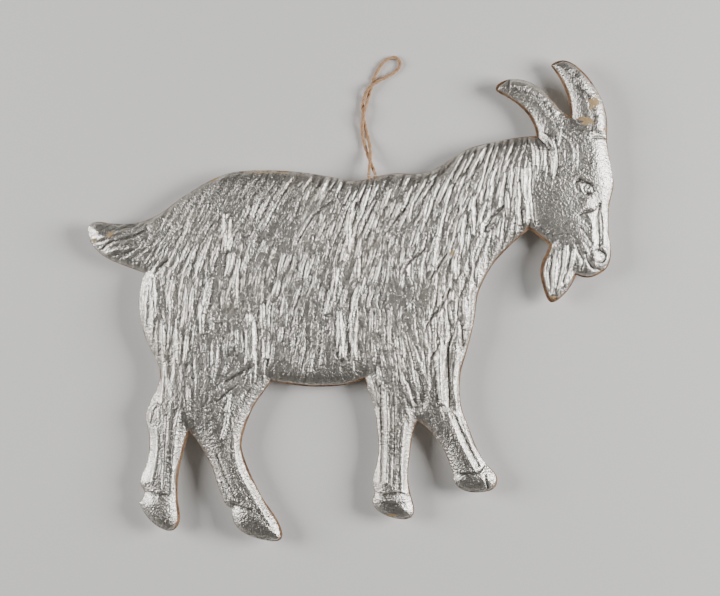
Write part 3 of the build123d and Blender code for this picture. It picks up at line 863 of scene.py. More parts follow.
def paint(piece: bpy.types.Object, name: str, values: np.ndarray) -> None:
    """Store one number for each of a mesh's points under a name, for its material."""
    layer = piece.data.attributes.new(name, "FLOAT", "POINT")
    layer.data.foreach_set("value", values.astype(np.float32))


def closed_shell(
    name: str, border: np.ndarray, top: Surface, bottom: Surface, side: Side
) -> bpy.types.Object:
    """A closed sheet between two surfaces that share one border.

    Args:
        name: the object's name.
        border: the border's points in plan.
        top: the outer surface: points within, heights on the border, heights within.
        bottom: the inner surface in the same way.
        side: the half that the sheet belongs to.

    Returns:
        The object. Heights are above the seam plane, outwards.
    """
    points, faces = [], []
    start = 0
    for (within, rim, heights), flip in ((top, side is Side.BACK), (bottom, side is Side.FRONT)):
        plan = np.concatenate([border, within])
        level = SEAM + side.value * np.concatenate([rim, heights])
        points.append(np.column_stack([plan, level]))
        for a, b, c in filled(border, within):
            faces.append((start + a, start + c, start + b) if flip else (start + a, start + b, start + c))
        start += len(plan)
    count, offset = len(border), len(border) + len(top[0])
    for index in range(count):
        following = (index + 1) % count
        wall = (index, offset + index, offset + following, following)
        faces.append(wall if side is Side.FRONT else wall[::-1])
    return mesh_object(name, np.concatenate(points), faces)


@dataclass
class PressedHalf:
    """One half of the ornament: silver paper over pressed card."""

    side: Side
    outline: Outline
    embossing: Embossing
    silver_spacing: float = 0.238
    card_spacing: float = 1.4
    ledge: float = 0.06
    ledge_light: Point2 = (0.75, -0.65)
    ledge_lit: float = 0.06
    ledge_wobble: float = 0.07
    ledge_least: float = 0.015
    ledge_most: float = 0.55
    edge_wobble: float = 0.05
    rim_wobble: float = 0.04
    silver_clear: float = 0.10
    inner_clear: float = 0.8
    inner_below: float = 0.45
    worn_fade: float = 0.7
    silver_thickness: float = 0.14
    card_below: float = 0.55
    card_clear: float = 0.9
    card_rim: float = 0.34
    seam_gap: float = 0.03
    shift: Point2 = (0.0, 0.0)

    def build(self, finishes: "Finishes") -> list[bpy.types.Object]:
        """Build and dress both sheets of this half.

        Args:
            finishes: the materials.

        Returns:
            The silver paper and the card.
        """
        silver = self._silver()
        card = self._card()
        finishes.dress(silver, finishes.silver)
        finishes.dress(card, finishes.card)
        return [silver, card]

    def _name(self, sheet: str) -> str:
        """The name of one of this half's pieces."""
        return f"{self.side.name.lower()}_{sheet}"

    def _wobble(self, count: int, size: float, salt: int) -> np.ndarray:
        """A slow irregular wave round the edge, as hand cutting leaves.

        Args:
            count: the wave's number of points.
            size: its greatest height.
            salt: what is added to the half's seed.

        Returns:
            The wave.
        """
        random = np.random.default_rng(self.embossing.seed + salt)
        angle = np.linspace(0, 2 * math.pi, count, endpoint=False)
        wave = np.zeros(count)
        for cycles in (23, 41, 67, 109, 173, 263):
            wave += random.normal() * np.sin(cycles * angle + random.uniform(0, 6.28)) / math.sqrt(cycles)
        return size * wave / np.abs(wave).max()

    def _ledges(self) -> np.ndarray:
        """How far the card stands out past the silver at each point of the edge.

        Returns:
            One width for each point.
        """
        faces_light = self.outline.normals @ np.array(self.ledge_light)
        wobble = self._wobble(len(self.outline.points), self.ledge_wobble, LEDGE_SALT)
        ledges = self.ledge + self.ledge_lit * np.clip(faces_light, 0, 1)
        for path, width in BARE_EDGES:
            line = curved(np.array(path), 8)
            gap = np.linalg.norm(self.outline.points[:, None] - line[None], axis=2).min(axis=1)
            ledges = np.maximum(ledges, width * np.clip(1.6 - gap / 1.3, 0, 1))
        return np.clip(ledges + wobble, self.ledge_least, self.ledge_most)

    def _silver(self) -> bpy.types.Object:
        """The silver paper, pressed over the card, with all its fine lines.

        Returns:
            The object.
        """
        border = self.outline.inset(self._ledges())
        within = hex_points(border, self.silver_spacing, self.ledge + self.silver_clear, self.outline)
        depth = self.outline.depth(within)
        height = self.embossing.height(within, depth)
        edge = self.embossing.edge_height + self._wobble(len(border), self.edge_wobble, EDGE_SALT)
        coarse = hex_points(border, self.card_spacing, self.inner_clear, self.outline)
        coarse_depth = self.outline.depth(coarse)
        lower = self.embossing.height(coarse, coarse_depth, False) - self.inner_below
        piece = closed_shell(
            self._name("silver"), border, (within, edge, height),
            (coarse, edge - self.silver_thickness, lower), self.side,
        )
        # crest values for the silver material, which darkens the low places as painted shade
        crests = self.embossing.sample(self.embossing.crests, within)
        spare = np.zeros(len(border) + len(coarse))
        paint(piece, "crest", np.concatenate([np.zeros(len(border)), crests, spare]))
        paint(piece, "worn", np.concatenate([self._worn(border), self._worn(within), spare]))
        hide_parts(self._name("skin"))
        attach(piece, "goat")
        return piece

    def _worn(self, points: np.ndarray) -> np.ndarray:
        """How near each point is to a place where the silver has rubbed off.

        Args:
            points: (n, 2) points.

        Returns:
            One value for each point, 1 at the middle of a worn spot.
        """
        near = np.zeros(len(points))
        spots = WORN_SPOTS if self.side is Side.FRONT else WORN_SPOTS[::2]
        for x, y, half_length, half_width, lean in spots:
            gap = oval_gap(points, (x, y), (half_length, half_width), lean)
            near = np.maximum(near, np.exp(-self.worn_fade * gap))
        return near

    def _card(self) -> bpy.types.Object:
        """The pressed card under the silver, its raw edge standing a little proud.

        Returns:
            The object.
        """
        border = self.outline.points + np.array(self.shift)
        within = hex_points(border, self.card_spacing, self.card_clear, self.outline)
        depth = self.outline.depth(within)
        rim = np.full(len(border), self.card_rim) + self._wobble(len(border), self.rim_wobble, RIM_SALT)
        upper = self.embossing.height(within, depth, False) - self.card_below
        flat = np.full(len(border), self.seam_gap)
        piece = closed_shell(
            self._name("board"), border, (within, rim, upper), (within[:0], flat, flat[:0]), self.side
        )
        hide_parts(self._name("card"))
        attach(piece, "goat")
        return piece


@dataclass
class SeamPaste:
    """The line of paste between the halves, a little short of the edge or squeezed past it."""

    outline: Outline
    half_height: float = 0.05
    back: float = 0.16
    squeezed_out: float = 0.28
    held_back: float = 0.1
    evened: int = 15  # points over which the line is evened out

    def build(self, finishes: "Finishes") -> bpy.types.Object:
        """Build and dress the paste.

        Args:
            finishes: the materials.

        Returns:
            The object.
        """
        random = np.random.default_rng(PASTE_SEED)
        draws = random.normal(0, 1, len(self.outline.points) + self.evened - 1)
        wave = np.convolve(draws, np.ones(self.evened) / self.evened, "valid")
        border = self.outline.inset(
            self.back - self.squeezed_out * np.clip(wave, 0, None) + self.held_back * np.clip(-wave, 0, None)
        )
        none = border[:0]
        level = np.full(len(border), self.half_height)
        piece = closed_shell(
            "seam_paste", border, (none, level, level[:0]), (none, -level, level[:0]), Side.FRONT
        )
        finishes.dress(piece, finishes.paste)
        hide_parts("rim_paste")
        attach(piece, "goat")
        return piece


# ---------------------------------------------------------------------------------------
# Twine
# ---------------------------------------------------------------------------------------
LOOP_ROUTE: tuple[Point3, ...] = (
    (3.70, 25.45, 3.00), (3.85, 27.20, 2.60), (4.00, 28.90, 1.95), (3.95, 30.60, 1.20), (3.62, 32.20, 0.62),
    (3.22, 33.80, 0.40), (2.88, 35.30, 0.40), (2.62, 36.70, 0.40), (2.42, 38.10, 0.45), (2.45, 39.60, 0.60),
    (2.75, 40.90, 0.80), (3.20, 42.00, 1.15), (3.85, 42.85, 1.25), (4.75, 43.60, 0.95), (5.95, 44.30, 0.60),
    (7.30, 45.00, 0.42), (8.60, 45.75, 0.40), (9.60, 46.55, 0.40), (10.05, 47.55, 0.40), (9.75, 48.55, 0.40),
    (8.90, 49.00, 0.40), (7.80, 48.75, 0.40), (6.75, 48.05, 0.40), (5.85, 47.00, 0.40), (5.15, 45.75, 0.40),
    (4.65, 44.50, 0.38), (4.25, 43.30, 0.38), (3.90, 42.00, 0.40), (3.50, 40.60, 0.55), (3.10, 39.20, 0.95),
    (2.78, 37.90, 1.25), (2.48, 36.70, 1.25), (2.32, 35.30, 1.00), (2.32, 33.90, 0.65), (2.55, 32.40, 0.60),
    (2.95, 30.90, 0.65), (3.40, 29.40, 0.90), (3.85, 28.15, 1.30), (4.45, 26.70, 2.10), (4.90, 25.45, 3.00),
)


@dataclass
class Twine:
    """Two-ply twine: the free loop, its fixed tails, their knot and the dab that holds them."""

    radius: float = 0.35
    ply_radius: float = 0.265
    ply_offset: float = 0.09
    lay: float = 3.2  # length of one full turn of the plies
    sides: int = 10
    hairs: int = 170
    hair_half: float = 0.014
    tail_gap: float = 0.14  # between the loop's round ends and the tails
    tail_spread: float = 0.38  # of the tails from the middle, at the knot
    knot_steps: int = 25

    def build(self, finishes: "Finishes") -> list[bpy.types.Object]:
        """Build and dress every piece of twine."""
        return [self._loop(finishes), self._tails(finishes), self._knot(finishes), self._dab(finishes)]

    @staticmethod
    def _centreline(name: str, route: tuple[Point3, ...], resolution: int = 14) -> np.ndarray:
        """Points along the smooth line of a route, in millimetres.

        Args:
            name: the line's name.
            route: its control points.
            resolution: steps between two of them.

        Returns:
            The points.
        """
        curve = bpy.data.curves.new(name, "CURVE")
        curve.dimensions = "3D"
        spline = curve.splines.new("NURBS")
        spline.points.add(len(route) - 1)
        for point, place in zip(spline.points, route):
            point.co = (*(value * MM for value in place), 1.0)
        spline.order_u = 3
        spline.use_endpoint_u = True
        spline.resolution_u = resolution
        holder = bpy.data.objects.new(name, curve)
        bpy.context.scene.collection.objects.link(holder)
        bpy.context.view_layer.update()
        graph = bpy.context.evaluated_depsgraph_get()
        mesh = bpy.data.meshes.new_from_object(holder.evaluated_get(graph))
        points = np.array([vert.co[:] for vert in mesh.vertices]) / MM
        bpy.data.objects.remove(holder)
        bpy.data.curves.remove(curve)
        bpy.data.meshes.remove(mesh)
        return points

    @staticmethod
    def _frames(line: np.ndarray) -> tuple[np.ndarray, np.ndarray, np.ndarray]:
        """Directions across a line that turn as little as they can, and its length so far.

        Args:
            line: the line's points.

        Returns:
            Two directions across the line and the length so far, at each point.
        """
        along = np.gradient(line, axis=0)
        along /= np.linalg.norm(along, axis=1)[:, None]
        first = np.cross(along[0], (0.0, 0.0, 1.0))
        first /= np.linalg.norm(first)
        across = [first]
        for tangent in along[1:]:
            turned = across[-1] - tangent * (across[-1] @ tangent)
            across.append(turned / np.linalg.norm(turned))
        across = np.array(across)
        travelled = np.concatenate([[0.0], np.cumsum(np.linalg.norm(np.diff(line, axis=0), axis=1))])
        return across, np.cross(along, across), travelled

    def _plies(self, line: np.ndarray, rounded: bool = False) -> tuple[np.ndarray, Faces, np.ndarray]:
        """Both plies twisted round a line.

        Args:
            line: the points of the twine's centreline.
            rounded: whether the twine ends in round noses past the line's two ends.

        Returns:
            The points, the faces, and each point's painted light across its ply: 1 on its outer side, 0 where
            it faces the other ply.
        """
        girth = np.ones(len(line))
        if rounded:
            past = self.radius * np.array([0.95, 0.8, 0.6, 0.35])[:, None]
            out, back = line[0] - line[1], line[-1] - line[-2]
            nose = line[0] + past * out / np.linalg.norm(out)
            tail = line[-1] + past[::-1] * back / np.linalg.norm(back)
            taper = np.sqrt(1 - (past[:, 0] / self.radius) ** 4)
            line = np.concatenate([nose, line, tail])
            girth = np.concatenate([taper, girth, taper[::-1]])
        across, up, travelled = self._frames(line)
        points, faces, shade = [], [], []
        for ply in range(2):
            turn = 2 * math.pi * travelled / self.lay + math.pi * ply
            spread = (self.ply_offset * girth)[:, None]
            centre = line + spread * (across * np.cos(turn)[:, None] + up * np.sin(turn)[:, None])
            slow, quick = np.sin(travelled * 3.1 + ply), np.sin(travelled * 7.7 + 2 * ply)
            swell = girth * (1 + 0.07 * slow + 0.05 * quick)
            start = sum(len(block) for block in points)
            for side in range(self.sides):
                angle = 2 * math.pi * side / self.sides
                ring = centre + (self.ply_radius * swell)[:, None] * (
                    across * np.cos(turn + angle)[:, None] + up * np.sin(turn + angle)[:, None]
                )
                points.append(ring)
                # painted shade: lightest on the ply's outer side, darkest where it faces the other ply
                shade.append(np.full(len(line), 0.5 + 0.5 * math.cos(angle)))
            rows = len(line)
            for side in range(self.sides):
                following = (side + 1) % self.sides
                for row in range(rows - 1):
                    a, b = start + side * rows + row, start + following * rows + row
                    faces.append((a, b, b + 1, a + 1))
            for row, flip in ((0, True), (rows - 1, False)):
                cap = tuple(start + side * rows + row for side in range(self.sides))
                faces.append(cap[::-1] if flip else cap)
        return np.concatenate(points), faces, np.concatenate(shade)

    def _fibres(self, line: np.ndarray, start: int) -> tuple[np.ndarray, Faces]:
        """Loose fibres that stand off the twine, each a thin tapering spike.

        Args:
            line: the twine's centreline.
            start: the number of the first new point.

        Returns:
            The points and the faces.
        """
        random = np.random.default_rng(FIBRE_SEED)
        across, up, _ = self._frames(line)
        points, faces = [], []
        for _ in range(self.hairs):
            row = int(random.integers(3, len(line) - 8))
            turn = random.uniform(0, 2 * math.pi)
            out = across[row] * math.cos(turn) + up[row] * math.sin(turn)
            along = line[row + 4] - line[row]
            along /= np.linalg.norm(along)
            foot = line[row] + out * self.radius * 0.72
            tip = foot + out * random.uniform(0.04, 0.26) + along * random.uniform(-0.3, 0.7)
            tip[2] = max(tip[2], 0.03)
            side = np.cross(out, along) * self.hair_half
            base = start + len(points)
            points += [foot + side, foot - side, foot + along * self.hair_half * 2, tip]
            faces += [(base, base + 1, base + 3), (base + 1, base + 2, base + 3),
                      (base + 2, base, base + 3), (base + 2, base + 1, base)]
        return np.array(points), faces

    def _loop(self, finishes: "Finishes") -> bpy.types.Object:
        """The free loop that hangs the ornament.

        Args:
            finishes: the materials.

        Returns:
            The object.
        """
        line = self._centreline("loop_line", LOOP_ROUTE)
        points, faces, shade = self._plies(line, rounded=True)
        hair_points, hair_faces = self._fibres(line, len(points))
        piece = mesh_object("twine_loop", np.concatenate([points, hair_points]), faces + hair_faces)
        paint(piece, "ply", np.concatenate([shade, np.full(len(hair_points), 0.8)]))
        finishes.dress(piece, finishes.twine)
        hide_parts("hanging_loop")
        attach(piece, "loop")
        return piece

    def _tails(self, finishes: "Finishes") -> bpy.types.Object:
        """The twine's two fixed ends, from the seam down to the knot.

        Args:
            finishes: the materials.

        Returns:
            The object.
        """
        low, high = (np.array(corner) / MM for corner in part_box("twine_tails"))
        points, faces, shades = np.zeros((0, 3)), [], []
        for foot in (LOOP_ROUTE[0], LOOP_ROUTE[-1]):
            middle = (low[0] + high[0]) / 2
            end_x = middle + math.copysign(self.tail_spread, foot[0] - middle)
            route = (
                (foot[0], foot[1] - self.radius - self.tail_gap, SEAM), (foot[0], high[1] - 2.0, SEAM),
                (foot[0], high[1] - 5.0, SEAM), (end_x, low[1] + 3.0, SEAM), (end_x, low[1], SEAM),
            )
            made, sides, shade = self._plies(self._centreline("tail_line", route))
            faces += [tuple(corner + len(points) for corner in face) for face in sides]
            points = np.concatenate([points, made])
            shades.append(shade)
        piece = mesh_object("twine_ends", points, faces)
        paint(piece, "ply", np.concatenate(shades))
        finishes.dress(piece, finishes.twine)
        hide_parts("twine_tails")
        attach(piece, "goat")
        return piece

    def _knot(self, finishes: "Finishes") -> bpy.types.Object:
        """The overhand knot inside, as twine wound round itself.

        Args:
            finishes: the materials.

        Returns:
            The object.
        """
        low, high = (np.array(corner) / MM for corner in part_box("twine_knot"))
        middle, reach = (low + high) / 2, (high - low).min() / 2 - self.radius
        route = []
        tucks = 1.5  # how often the twine passes in and out for each time round
        for step in range(self.knot_steps + 1):
            turn = 2 * math.pi * 2 * step / self.knot_steps
            ring = reach * (0.72 + 0.28 * math.cos(tucks * turn))
            route.append((
                float(middle[0] + ring * math.cos(turn)), float(middle[1] + ring * math.sin(turn)),
                float(middle[2] + 0.75 * reach * math.sin(tucks * turn)),
            ))
        points, faces, shade = self._plies(self._centreline("knot_line", tuple(route)))
        piece = mesh_object("twine_stop_knot", points, faces)
        paint(piece, "ply", shade)
        finishes.dress(piece, finishes.twine)
        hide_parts("twine_knot")
        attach(piece, "goat")
        return piece

    @staticmethod
    def _dab(finishes: "Finishes") -> bpy.types.Object:
        """The hidden dab of paste, which keeps its CAD shape.

        Args:
            finishes: the materials.

        Returns:
            The object.
        """
        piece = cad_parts["twine_dab"]
        finishes.dress(piece, finishes.paste)
        return piece


# ---------------------------------------------------------------------------------------
# Finishes
# ---------------------------------------------------------------------------------------
class Desk:
    """A short way to lay out and join shader nodes."""

    def __init__(self, tree: bpy.types.NodeTree) -> None:
        """Work on this node tree."""
        self.tree = tree

    def node(self, kind: str, **settings: object) -> bpy.types.Node:
        """A new node; inputs_N sets input N, other settings are the node's own.

        Args:
            kind: the node's type.
            settings: its settings.

        Returns:
            The node.
        """
        made = self.tree.nodes.new(kind)
        for name, value in settings.items():
            if name.startswith("inputs_"):
                made.inputs[int(name[7:])].default_value = value
            else:
                setattr(made, name, value)
        return made

    def join(self, source: bpy.types.NodeSocket, target: bpy.types.NodeSocket) -> None:
        """Link an output to an input."""
        self.tree.links.new(source, target)

    def math(self, operation: str, first: object, second: object = 0.0) -> bpy.types.NodeSocket:
        """A Math node's result, from sockets or numbers.

        Args:
            operation: the node's operation.
            first: a socket or a number.
            second: another.

        Returns:
            The result.
        """
        made = self.node("ShaderNodeMath", operation=operation)
        for socket, value in zip(made.inputs, (first, second)):
            if isinstance(value, bpy.types.NodeSocket):
                self.join(value, socket)
            else:
                socket.default_value = value
        return made.outputs[0]

    def span(
        self, value: bpy.types.NodeSocket, low: float, high: float, first: float = 0.0, last: float = 1.0
    ) -> bpy.types.NodeSocket:
        """A value's range from low to high, turned into the range from first to last.

        Args:
            value: the value.
            low: start of its range.
            high: end of its range.
            first: what low becomes.
            last: what high becomes.

        Returns:
            The result.
        """
        made = self.node("ShaderNodeMapRange", inputs_1=low, inputs_2=high, inputs_3=first, inputs_4=last)
        made.interpolation_type = "SMOOTHSTEP"
        self.join(value, made.inputs[0])
        return made.outputs[0]

    def blend(self, share: object, first: object, second: object) -> bpy.types.NodeSocket:
        """A mix of two colours.

        Args:
            share: how much of the second colour shows.
            first: a socket or a colour.
            second: another.

        Returns:
            The mixed colour.
        """
        made = self.node("ShaderNodeMix", data_type="RGBA")
        for socket, value in ((made.inputs[0], share), (made.inputs[6], first), (made.inputs[7], second)):
            if isinstance(value, bpy.types.NodeSocket):
                self.join(value, socket)
            else:
                socket.default_value = value if isinstance(value, float) else (*value, 1.0)
        return made.outputs[2]


@dataclass(frozen=True)
class SilverPaper:
    """Worn silver paper."""

    silver: Color = (0.84, 0.795, 0.725)
    tarnish: Color = (0.30, 0.24, 0.18)
    # the painted shade, with some tarnish, that darkens the recesses of the pressed lines
    shade: Color = (0.22, 0.21, 0.195)
    bare: Color = (0.45, 0.31, 0.155)
    roughness: float = 0.28
    bump: float = 0.00017


@dataclass(frozen=True)
class BrownCard:
    """Raw pressed card."""

    light: Color = (0.33, 0.19, 0.10)
    dark: Color = (0.10, 0.050, 0.024)
    roughness: float = 0.88
    grain: float = 900.0
    bump: float = 0.00006


@dataclass(frozen=True)
class DryPaste:
    """Old brown paste."""

    light: Color = (0.40, 0.27, 0.13)
    dark: Color = (0.20, 0.12, 0.06)
    roughness: float = 0.55
    grain: float = 700.0
    bump: float = 0.00005


@dataclass(frozen=True)
class TanTwine:
    """Plain twisted twine."""

    light: Color = (0.62, 0.37, 0.20)
    dark: Color = (0.24, 0.12, 0.05)
    roughness: float = 0.86
    sheen: float = 0.25
    bump: float = 0.00005


class Finishes:
    """Every material of the ornament, with the node groups that they share."""

    def __init__(self) -> None:
        """Make the groups, then the materials."""
        self._specks = self._speck_group()
        self._paper = self._paper_group()
        self.silver = self._silver(SilverPaper())
        self.card = self._plain("raw_card", BrownCard())
        self.paste = self._plain("dry_paste", DryPaste())
        self.twine = self._twine(TanTwine())

    @staticmethod
    def dress(piece: bpy.types.Object, material: bpy.types.Material) -> None:
        """Give a piece its material."""
        piece.data.materials.clear()
        piece.data.materials.append(material)

    @staticmethod
    def _group(
        name: str, inputs: dict[str, float], outputs: tuple[str, ...]
    ) -> tuple[bpy.types.NodeTree, Desk, bpy.types.Node, bpy.types.Node]:
        """An empty shader group with named sockets.

        Args:
            name: the group's name.
            inputs: its inputs and their first values.
            outputs: its outputs.

        Returns:
            The group, its desk, and its two end nodes.
        """
        tree = bpy.data.node_groups.new(name, "ShaderNodeTree")
        for label, value in inputs.items():
            socket = tree.interface.new_socket(label, in_out="INPUT", socket_type="NodeSocketFloat")
            socket.default_value = value
        for label in outputs:
            tree.interface.new_socket(label, in_out="OUTPUT", socket_type="NodeSocketFloat")
        desk = Desk(tree)
        return tree, desk, desk.node("NodeGroupInput"), desk.node("NodeGroupOutput")

    def _speck_group(self) -> bpy.types.NodeTree:
        """Fine and broad specks over a surface.

        Returns:
            The group.
        """
        tree, desk, given, result = self._group(
            "surface_specks", {"Fine Scale": 2500.0, "Broad Scale": 90.0}, ("Fine", "Broad")
        )
        where = desk.node("ShaderNodeTexCoord").outputs["Object"]
        for index, detail in ((0, 3.0), (1, 5.0)):
            noise = desk.node("ShaderNodeTexNoise")
            noise.inputs["Detail"].default_value = detail
            desk.join(where, noise.inputs["Vector"])
            desk.join(given.outputs[index], noise.inputs["Scale"])
            desk.join(noise.outputs[0], result.inputs[index])
        return tree

    def _paper_group(self) -> bpy.types.NodeTree:
        """The stippled, finely crumpled face of pressed paper, as a height.

        Returns:
            The group.
        """
        tree, desk, given, result = self._group(
            "pressed_paper", {"Grain Scale": 3200.0, "Crumple Scale": 1100.0, "Crumple": 0.5}, ("Height",)
        )
        where = desk.node("ShaderNodeTexCoord").outputs["Object"]
        grain = desk.node("ShaderNodeTexNoise")
        grain.inputs["Detail"].default_value = 3.0
        crumple = desk.node("ShaderNodeTexVoronoi", feature="SMOOTH_F1")
        for node, socket in ((grain, given.outputs[0]), (crumple, given.outputs[1])):
            desk.join(where, node.inputs["Vector"])
            desk.join(socket, node.inputs["Scale"])
        creased = desk.math("MULTIPLY", crumple.outputs["Distance"], given.outputs[2])
        desk.join(desk.math("ADD", grain.outputs[0], creased), result.inputs[0])
        return tree

    @staticmethod
    def _start(name: str) -> tuple[bpy.types.Material, Desk, bpy.types.Node]:
        """A new material with one Principled shader.

        Args:
            name: the material's name.

        Returns:
            The material, its desk and its shader.
        """
        material = bpy.data.materials.new(name)
        material.use_nodes = True
        desk = Desk(material.node_tree)
        return material, desk, material.node_tree.nodes["Principled BSDF"]

    @staticmethod
    def _use(desk: Desk, tree: bpy.types.NodeTree, values: dict[str, float]) -> bpy.types.Node:
        """Place a shared group with its own values.

        Args:
            desk: the material's desk.
            tree: the group.
            values: the values of its inputs.

        Returns:
            The placed group.
        """
        made = desk.node("ShaderNodeGroup", node_tree=tree)
        for label, value in values.items():
            made.inputs[label].default_value = value
        return made

    @staticmethod
    def _bump(
        desk: Desk, shader: bpy.types.Node, height: bpy.types.NodeSocket, distance: float, strength: float
    ) -> None:
        """Raise a height on the shader's surface.

        Args:
            desk: the material's desk.
            shader: its shader.
            height: the height.
            distance: how high it is, in metres.
            strength: how much of it shows.
        """
        bump = desk.node("ShaderNodeBump")
        bump.inputs["Strength"].default_value = strength
        bump.inputs["Distance"].default_value = distance
        desk.join(height, bump.inputs["Height"])
        desk.join(bump.outputs[0], shader.inputs["Normal"])

    def _silver(self, look: SilverPaper) -> bpy.types.Material:
        """Silver paper, with painted shade and some tarnish in its recesses, and rubbed through in places.

        Args:
            look: its colours and gloss.

        Returns:
            The material.
        """
        material, desk, shader = self._start("silver_paper")
        specks = self._use(desk, self._specks, {"Fine Scale": 1700.0, "Broad Scale": 110.0})
        fine, broad = specks.outputs[0], specks.outputs[1]
        crest = desk.node("ShaderNodeAttribute", attribute_name="crest").outputs["Fac"]
        worn = desk.node("ShaderNodeAttribute", attribute_name="worn").outputs["Fac"]
        # painted shade: where the crest value is low, in the recesses of the pressed lines, the silver is
        # darkened towards the shade colour, patchy with the fine specks and partly meant as tarnish
        low = desk.span(crest, 0.05, -0.13)
        patchy = desk.span(broad, 0.42, 0.72)
        speckled = desk.span(fine, 0.50, 0.68)
        recess_shade_and_tarnish = desk.math("MULTIPLY", low, desk.math("ADD", desk.math("MULTIPLY", fine, 0.9), 0.40))
        shaded = desk.blend(recess_shade_and_tarnish, look.silver, look.shade)
        spotted = desk.math("ADD", desk.math("MULTIPLY", speckled, 0.50), 0.16)
        spots = desk.math("MULTIPLY", patchy, spotted)
        stained = desk.blend(spots, shaded, look.tarnish)
        ragged = desk.math("ADD", worn, desk.math("MULTIPLY", desk.math("SUBTRACT", fine, 0.5), 2.2))
        bare = desk.span(ragged, 0.46, 0.56)
        desk.join(desk.blend(bare, stained, look.bare), shader.inputs["Base Color"])
        desk.join(desk.math("SUBTRACT", 1.0, bare), shader.inputs["Metallic"])
        rough = desk.math("ADD", desk.math("MULTIPLY", fine, 0.26), look.roughness - 0.10)
        rough = desk.math("ADD", rough, desk.math("MULTIPLY", bare, 0.4))
        desk.join(desk.math("ADD", rough, desk.math("MULTIPLY", spots, 0.25)), shader.inputs["Roughness"])
        paper = self._use(desk, self._paper, {"Grain Scale": 3100.0, "Crumple Scale": 1850.0, "Crumple": 0.6})
        self._bump(desk, shader, paper.outputs[0], look.bump, 0.9)
        return material

    @staticmethod
    def _vary_roughness(
        desk: Desk, shader: bpy.types.Node, fine: bpy.types.NodeSocket, middle: float
    ) -> None:
        """Let the fine specks vary a shader's roughness a little."""
        desk.join(desk.span(fine, 0.3, 0.7, middle - 0.1, middle + 0.08), shader.inputs["Roughness"])

    def _plain(self, name: str, look: BrownCard | DryPaste) -> bpy.types.Material:
        """A matt brown material with specks and a fibrous face.

        Args:
            name: the material's name.
            look: its colours, gloss and grain.

        Returns:
            The material.
        """
        material, desk, shader = self._start(name)
        scales = {"Fine Scale": 2.4 * look.grain, "Broad Scale": 0.3 * look.grain}
        specks = self._use(desk, self._specks, scales)
        share = desk.math("MULTIPLY", desk.math("ADD", specks.outputs[0], specks.outputs[1]), 0.5)
        brown = desk.blend(desk.span(share, 0.38, 0.62), look.dark, look.light)
        desk.join(brown, shader.inputs["Base Color"])
        self._vary_roughness(desk, shader, specks.outputs[0], look.roughness)
        paper = self._use(desk, self._paper, {"Grain Scale": 2 * look.grain, "Crumple Scale": look.grain})
        self._bump(desk, shader, paper.outputs[0], look.bump, 0.6)
        return material

    def _twine(self, look: TanTwine) -> bpy.types.Material:
        """Tan twine, with painted shade between its plies.

        Args:
            look: its colours and gloss.

        Returns:
            The material.
        """
        material, desk, shader = self._start("tan_twine")
        specks = self._use(desk, self._specks, {"Fine Scale": 4200.0, "Broad Scale": 420.0})
        ply = desk.node("ShaderNodeAttribute", attribute_name="ply").outputs["Fac"]
        fine, broad = specks.outputs[0], specks.outputs[1]
        mottled = desk.math("ADD", desk.math("MULTIPLY", fine, 0.6), desk.math("MULTIPLY", broad, 0.4))
        # painted shade between the plies, from the ply attribute, times random mottling
        outer, lit = desk.span(ply, 0.0, 0.75, 0.25, 1.0), desk.span(mottled, 0.36, 0.62, 0.35, 1.0)
        share = desk.math("MULTIPLY", outer, lit)
        desk.join(desk.blend(share, look.dark, look.light), shader.inputs["Base Color"])
        self._vary_roughness(desk, shader, fine, look.roughness)
        shader.inputs["Sheen Weight"].default_value = look.sheen
        self._bump(desk, shader, fine, look.bump, 0.8)
        return material


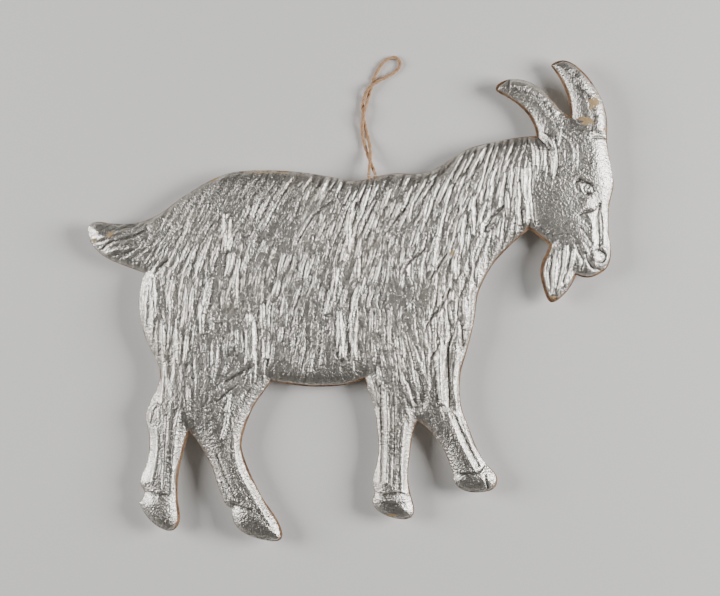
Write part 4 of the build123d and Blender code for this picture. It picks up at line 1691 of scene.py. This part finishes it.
# ---------------------------------------------------------------------------------------
# Studio
# ---------------------------------------------------------------------------------------
@dataclass
class Studio:
    """Camera straight above, a key light from the right, a fill from the left, a pale floor."""

    over: Point2 = (1.9, 0.5)
    view_width: float = 144.0
    lens: float = 100.0
    sensor: float = 36.0
    key_energy: float = 3.1
    fill_energy: float = 2.1
    key_place: Point3 = (0.42, 0.03, 0.225)
    fill_place: Point3 = (-0.42, 0.05, 0.215)
    lamp_size: float = 0.23
    world: float = 0.085
    world_color: Color = (1.0, 0.985, 0.965)
    floor_color: Color = (0.80, 0.79, 0.77)
    floor_roughness: float = 0.85
    floor_half: float = 1500.0

    def place_camera(self) -> None:
        """Put the camera over the goat, looking straight down."""
        data = bpy.data.cameras.new("camera")
        data.lens = self.lens
        data.sensor_width = self.sensor
        data.clip_start, data.clip_end = 0.01, 10.0
        camera = bpy.data.objects.new("camera", data)
        height = SEAM + self.view_width * self.lens / self.sensor
        camera.location = (self.over[0] * MM, self.over[1] * MM, height * MM)
        bpy.context.scene.collection.objects.link(camera)
        bpy.context.scene.camera = camera

    def light(self) -> None:
        """Put up the lights, the dim surroundings and the floor."""
        self._lamp("key", self.key_place, self.key_energy)
        self._lamp("fill", self.fill_place, self.fill_energy)
        world = bpy.data.worlds.new("surroundings")
        world.use_nodes = True
        background = world.node_tree.nodes["Background"]
        background.inputs[0].default_value = (*self.world_color, 1.0)
        background.inputs[1].default_value = self.world
        bpy.context.scene.world = world
        self._floor()

    def _lamp(self, name: str, place: Point3, energy: float) -> None:
        """A square soft light aimed at the goat.

        Args:
            name: the lamp's name.
            place: where it stands, in metres.
            energy: its power in watts.
        """
        data = bpy.data.lights.new(name, "AREA")
        data.shape = "SQUARE"
        data.size = self.lamp_size
        data.energy = energy
        lamp = bpy.data.objects.new(name, data)
        lamp.location = place
        lamp.rotation_euler = (-Vector(place)).to_track_quat("-Z", "Y").to_euler()
        bpy.context.scene.collection.objects.link(lamp)

    def _floor(self) -> None:
        """A plain pale floor, which isn't part of the ornament."""
        half = self.floor_half
        corners = np.array([(-half, -half, 0.0), (half, -half, 0.0), (half, half, 0.0), (-half, half, 0.0)])
        floor = mesh_object("floor", corners, [(0, 1, 2, 3)])
        material = bpy.data.materials.new("pale_floor")
        material.use_nodes = True
        shader = material.node_tree.nodes["Principled BSDF"]
        shader.inputs["Base Color"].default_value = (*self.floor_color, 1.0)
        shader.inputs["Roughness"].default_value = self.floor_roughness
        floor.data.materials.append(material)


def main() -> None:
    """Build the ornament and the studio."""
    logging.basicConfig(level=logging.INFO, format="%(name)s: %(message)s")
    studio = Studio()
    studio.place_camera()
    finishes = Finishes()
    for piece in Twine().build(finishes):
        log.info("made %s", piece.name)
    outline = Outline("front_skin")
    for side, seed, shift in ((Side.FRONT, 11, (0.0, 0.0)), (Side.BACK, 23, (0.10, -0.08))):
        half = PressedHalf(side, outline, Embossing(outline, seed), shift=shift)
        for piece in half.build(finishes):
            log.info("made %s with %d faces", piece.name, len(piece.data.polygons))
    log.info("made %s", SeamPaste(outline).build(finishes).name)
    studio.light()


if __name__ == "__main__":
    main()
